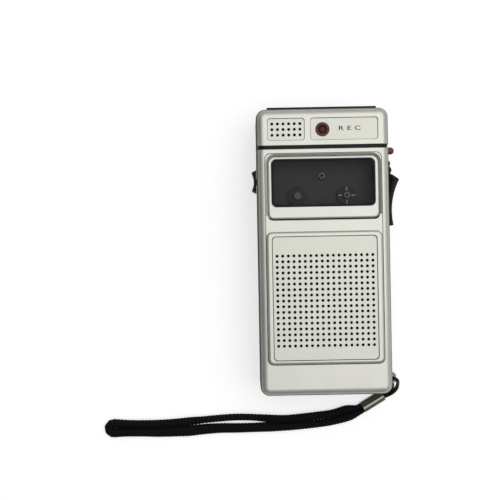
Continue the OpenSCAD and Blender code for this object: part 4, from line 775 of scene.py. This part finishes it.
# Each profile lists radius and height above the disc of the spindle.
HUB_RING = [(1.9, 0), (1.9, 2.6), (1.7, 2.9), (1.0, 2.9), (0.9, 2.2), (0.05, 2.2)]
HUB_DOT = [(0.7, 2.2), (0.7, 2.6), (0.5, 2.85), (0.05, 2.9)]
DOG_RING = [(1.6, 0), (1.6, 2.7), (1.4, 2.9), (0.9, 2.9), (0.8, 2.0), (0.05, 2.0)]
DOG_CORE = [(0.75, 2.0), (0.75, 2.3), (0.6, 2.4), (0.3, 2.35), (0.05, 2.35)]
DOG_CORE_SIDES = 32
ARM_FROM = 2.5
ARM_TO = 4.6
ARM_W = 0.75
ARM_SUNK = 0.1
ARM_H = 0.8
ARM_TURNS = (0, 90, 180, 270)
supply_middle = middle_of("supply_hub")
supply_disc = box_mm("supply_hub")[0][2]
takeup_middle = middle_of("takeup_dog")
takeup_disc = box_mm("takeup_dog")[0][2]

hub = link("supply_hub_ring", lathe(HUB_RING, supply_middle, supply_disc), materials["hub_grey"],
           "supply")
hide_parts("supply_hub")
link("supply_hub_dot", lathe(HUB_DOT, supply_middle, supply_disc), materials["bright_metal"],
     "supply")
dog = link("takeup_dog_ring", lathe(DOG_RING, takeup_middle, takeup_disc), materials["hub_grey"],
           "takeup")
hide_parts("takeup_dog")
link("takeup_dog_core", lathe(DOG_CORE, takeup_middle, takeup_disc, DOG_CORE_SIDES),
     materials["deck_plastic"], "takeup")
dog_arms = bars(takeup_middle, ARM_FROM, ARM_TO, ARM_W, takeup_disc - ARM_SUNK, takeup_disc + ARM_H,
                ARM_TURNS)
link("takeup_dog_arms", dog_arms, materials["pale_plastic"], "takeup")

# Painted shadow: a black ring on the underside of the window, along its edge, where the ledge under the
# pane lies in shade
RIM_SHADOW_PLAY = 0.1
RIM_SHADOW_W = 1.1
RIM_SHADOW_R = 2.8
RIM_SHADOW_CLEAR = 0.01
RIM_SHADOW_T = 0.05
window_low, window_high = box_mm("door_window")
rim_shadow_size = [window_high[k] - window_low[k] - RIM_SHADOW_PLAY for k in range(2)]
rim_shadow_z = window_low[2] + RIM_SHADOW_CLEAR
window_rim_painted_shadow = rounded_ring(rim_shadow_size, RIM_SHADOW_R, RIM_SHADOW_W, rim_shadow_z, rim_shadow_z + RIM_SHADOW_T, middle_of("door_window"))
link("window_rim_painted_shadow", window_rim_painted_shadow, materials["black_plastic"], "door", smooth=False)

# Guide post: a square brass rim, turned a little, around a dark core
POST_W = 2.9
POST_R = 0.35
POST_RIM = 0.55
POST_TURN = 30
POST_CORE = [(1.1, 0.05), (1.1, 2.8), (0.9, 3), (0.05, 3)]
POST_CORE_SIDES = 24
post_low, post_high = box_mm("guide_post")
post_middle = middle_of("guide_post")
post_rim_mesh = rounded_ring((POST_W, POST_W), POST_R, POST_RIM, post_low[2], post_high[2], post_middle,
                             POST_TURN)
post_rim = link("guide_post_rim", post_rim_mesh, materials["post_brass"], "housing")
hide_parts("guide_post")
link("guide_post_core", lathe(POST_CORE, post_middle, post_low[2], POST_CORE_SIDES),
     materials["deck_plastic"], "housing")


# Painted shadow around the loudspeaker grille: a dark ring in the gap between plate and frame, in
# millimetres
GAP_SHADOW_W = 0.3
GAP_SHADOW_PLAY = 0.02
GAP_SHADOW_DROP = 0.1
GAP_SHADOW_T = 0.8
GRILLE_R = 2
grille_low, grille_high = box_mm("speaker_grille")
gap_shadow_size = [grille_high[k] - grille_low[k] + 2 * GAP_SHADOW_W for k in range(2)]
gap_shadow_top = grille_high[2] - GAP_SHADOW_DROP
grille_gap_painted_shadow = rounded_ring(gap_shadow_size, GRILLE_R + GAP_SHADOW_W, GAP_SHADOW_W - GAP_SHADOW_PLAY, gap_shadow_top - GAP_SHADOW_T, gap_shadow_top,
                           middle_of("speaker_grille"))
link("grille_gap_painted_shadow", grille_gap_painted_shadow, materials["black_plastic"], "housing", smooth=False)


# Felt behind the microphone holes, in millimetres
FELT_INSET = 1.4
FELT_CLEAR = 0.02
FELT_T = 0.48
FELT_FUZZ = 0.05
FELT_ACROSS = 60
FELT_ALONG = 32
# Two slanting waves make the fuzz: how fast each one runs along x and y.
FELT_WAVES = ((7.3, 2.1), (-3.7, 9.1))


def felt_pad(low, high):
    """Thin pad with a fuzzy upper face between two corners."""
    bm = bmesh.new()
    top = []
    bottom = []
    for j in range(FELT_ALONG + 1):
        for i in range(FELT_ACROSS + 1):
            x = low[0] + (high[0] - low[0]) * i / FELT_ACROSS
            y = low[1] + (high[1] - low[1]) * j / FELT_ALONG
            waves = sum(math.sin(u * x + v * y) for u, v in FELT_WAVES)
            drop = FELT_FUZZ * (0.5 + 0.25 * waves)
            top.append(bm.verts.new((x * MM, y * MM, (high[2] - drop) * MM)))
            bottom.append(bm.verts.new((x * MM, y * MM, low[2] * MM)))
    row = FELT_ACROSS + 1
    for j in range(FELT_ALONG):
        for i in range(FELT_ACROSS):
            k = j * row + i
            bm.faces.new((top[k], top[k + 1], top[k + row + 1], top[k + row]))
            bm.faces.new((bottom[k], bottom[k + row], bottom[k + row + 1], bottom[k + 1]))
    rim = list(range(row))
    rim += [j * row + FELT_ACROSS for j in range(1, FELT_ALONG + 1)]
    rim += [FELT_ALONG * row + i for i in range(FELT_ACROSS - 1, -1, -1)]
    rim += [j * row for j in range(FELT_ALONG - 1, 0, -1)]
    for a, b in zip(rim, rim[1:] + rim[:1]):
        bm.faces.new((bottom[a], bottom[b], top[b], top[a]))
    return bm


mic_low, mic_high = box_mm("mic_grille")
felt_top = mic_low[2] - FELT_CLEAR
mic_felt = felt_pad((mic_low[0] + FELT_INSET, mic_low[1] + FELT_INSET, felt_top - FELT_T),
                    (mic_high[0] - FELT_INSET, mic_high[1] - FELT_INSET, felt_top))
link("mic_felt", mic_felt, materials["felt"], "housing")


# Plain record label, in millimetres
LABEL_H = 2.3
LABEL_W = 11.6
LABEL_T = 0.02
LABEL_FROM_END = 14.9
LABEL_ABOVE_MIDDLE = 0.25
LABEL_LIFT = 0.012
LETTER_SPACE = 1.7
LETTER_DEPTH = 0.01
LETTER_WEIGHT = 0.012


def printed_word(name, word, middle, height, width, material):
    """Flat print on a plate: a word fitted into a height and width."""
    font = bpy.data.curves.new(name, "FONT")
    font.body = word
    font.space_character = LETTER_SPACE
    font.extrude = LETTER_DEPTH
    font.offset = LETTER_WEIGHT
    holder = bpy.data.objects.new(name, font)
    scene.collection.objects.link(holder)
    bpy.context.view_layer.update()
    mesh = bpy.data.meshes.new_from_object(holder.evaluated_get(bpy.context.evaluated_depsgraph_get()))
    bpy.data.objects.remove(holder)
    bm = bmesh.new()
    bm.from_mesh(mesh)
    bpy.data.meshes.remove(mesh)
    low = [min(v.co[k] for v in bm.verts) for k in range(3)]
    high = [max(v.co[k] for v in bm.verts) for k in range(3)]
    size = (width, height, LABEL_T)
    for v in bm.verts:
        share = [(v.co[k] - low[k]) / (high[k] - low[k]) - 0.5 for k in range(3)]
        v.co = [(middle[k] + size[k] * share[k]) * MM for k in range(3)]
    return link(name, bm, material, "housing", smooth=False)


plate_high = box_mm("record_plate")[1]
label_at = (plate_high[0] - LABEL_FROM_END, middle_of("record_plate")[1] + LABEL_ABOVE_MIDDLE,
            plate_high[2] + LABEL_LIFT)
printed_word("record_label", "REC", label_at, LABEL_H, LABEL_W, materials["print"])


# Stage and light
FLOOR_SIZE = 6
FLOOR_Z = -0.0003
FLOOR_GREY = 0.12
FLOOR_WHITE = 0.75
FLOOR_GLOW = 0.62
LAMP_AT = (0.22, 0.13, 1.1)
LAMP_SIZE = 1.1
LAMP_POWER = 3.5
# The room is brightest towards this direction, and dark up to a little above the horizon.
BRIGHT_SIDE = (0.75, 0.6, 0.28)
BRIGHT_SPAN = (-0.6, 1.0)
BRIGHT_RANGE = (0.08, 0.68)
HORIZON_SPAN = (0.05, 0.5)


def floor_material():
    """White for the camera and in reflections, darker for the light that it throws back."""
    n = Nodes("pale_floor")
    path = n.tree.nodes.new("ShaderNodeLightPath")
    seen = path.outputs["Is Camera Ray"]
    for other in ("Is Glossy Ray", "Is Transmission Ray"):
        most = n.tree.nodes.new("ShaderNodeMath")
        most.operation = "MAXIMUM"
        n.join(seen, most.inputs[0])
        n.join(path.outputs[other], most.inputs[1])
        seen = most.outputs[0]
    grey = (FLOOR_GREY, FLOOR_GREY, FLOOR_GREY, 1)
    white = (FLOOR_WHITE, FLOOR_WHITE, FLOOR_WHITE, 1)
    n.join(n.mix(seen, grey, white), n.shader.inputs["Base Color"])
    n.set(Roughness=1.0, Specular_IOR_Level=0.0, Emission_Color=(1, 1, 1, 1))
    n.join(n.spread(seen, 0, FLOOR_GLOW, 0, 1), n.shader.inputs["Emission Strength"])
    return n.material


bpy.ops.mesh.primitive_plane_add(size=FLOOR_SIZE, location=(0, 0, FLOOR_Z))
floor = bpy.context.object
floor.name = "floor"
floor.data.materials.append(floor_material())


def area_light(name, at, size, energy):
    """Square lamp that points at the origin."""
    data = bpy.data.lights.new(name, "AREA")
    data.shape = "SQUARE"
    data.size = size
    data.energy = energy
    light = bpy.data.objects.new(name, data)
    light.location = at
    light.rotation_euler = (Vector((0, 0, 0)) - Vector(at)).to_track_quat("-Z", "Y").to_euler()
    scene.collection.objects.link(light)


area_light("overhead", LAMP_AT, LAMP_SIZE, LAMP_POWER)


def ranged(tree, value, span, limits):
    """A value over a span mapped to lie between two limits."""
    node = tree.nodes.new("ShaderNodeMapRange")
    node.inputs["From Min"].default_value = span[0]
    node.inputs["From Max"].default_value = span[1]
    node.inputs["To Min"].default_value = limits[0]
    node.inputs["To Max"].default_value = limits[1]
    tree.links.new(value, node.inputs["Value"])
    return node.outputs["Result"]


def studio_world():
    """Room that is dark at the horizon and brighter above, most of all at the upper right."""
    world = bpy.data.worlds.new("studio")
    world.use_nodes = True
    tree = world.node_tree
    coord = tree.nodes.new("ShaderNodeTexCoord")
    toward = tree.nodes.new("ShaderNodeVectorMath")
    toward.operation = "DOT_PRODUCT"
    toward.inputs[1].default_value = BRIGHT_SIDE
    tree.links.new(coord.outputs["Generated"], toward.inputs[0])
    parts = tree.nodes.new("ShaderNodeSeparateXYZ")
    tree.links.new(coord.outputs["Generated"], parts.inputs[0])
    strength = tree.nodes.new("ShaderNodeMath")
    strength.operation = "MULTIPLY"
    tree.links.new(ranged(tree, toward.outputs["Value"], BRIGHT_SPAN, BRIGHT_RANGE), strength.inputs[0])
    tree.links.new(ranged(tree, parts.outputs["Z"], HORIZON_SPAN, (0, 1)), strength.inputs[1])
    background = tree.nodes["Background"]
    background.inputs["Color"].default_value = (1, 1, 1, 1)
    tree.links.new(strength.outputs[0], background.inputs["Strength"])
    return world


scene.world = studio_world()
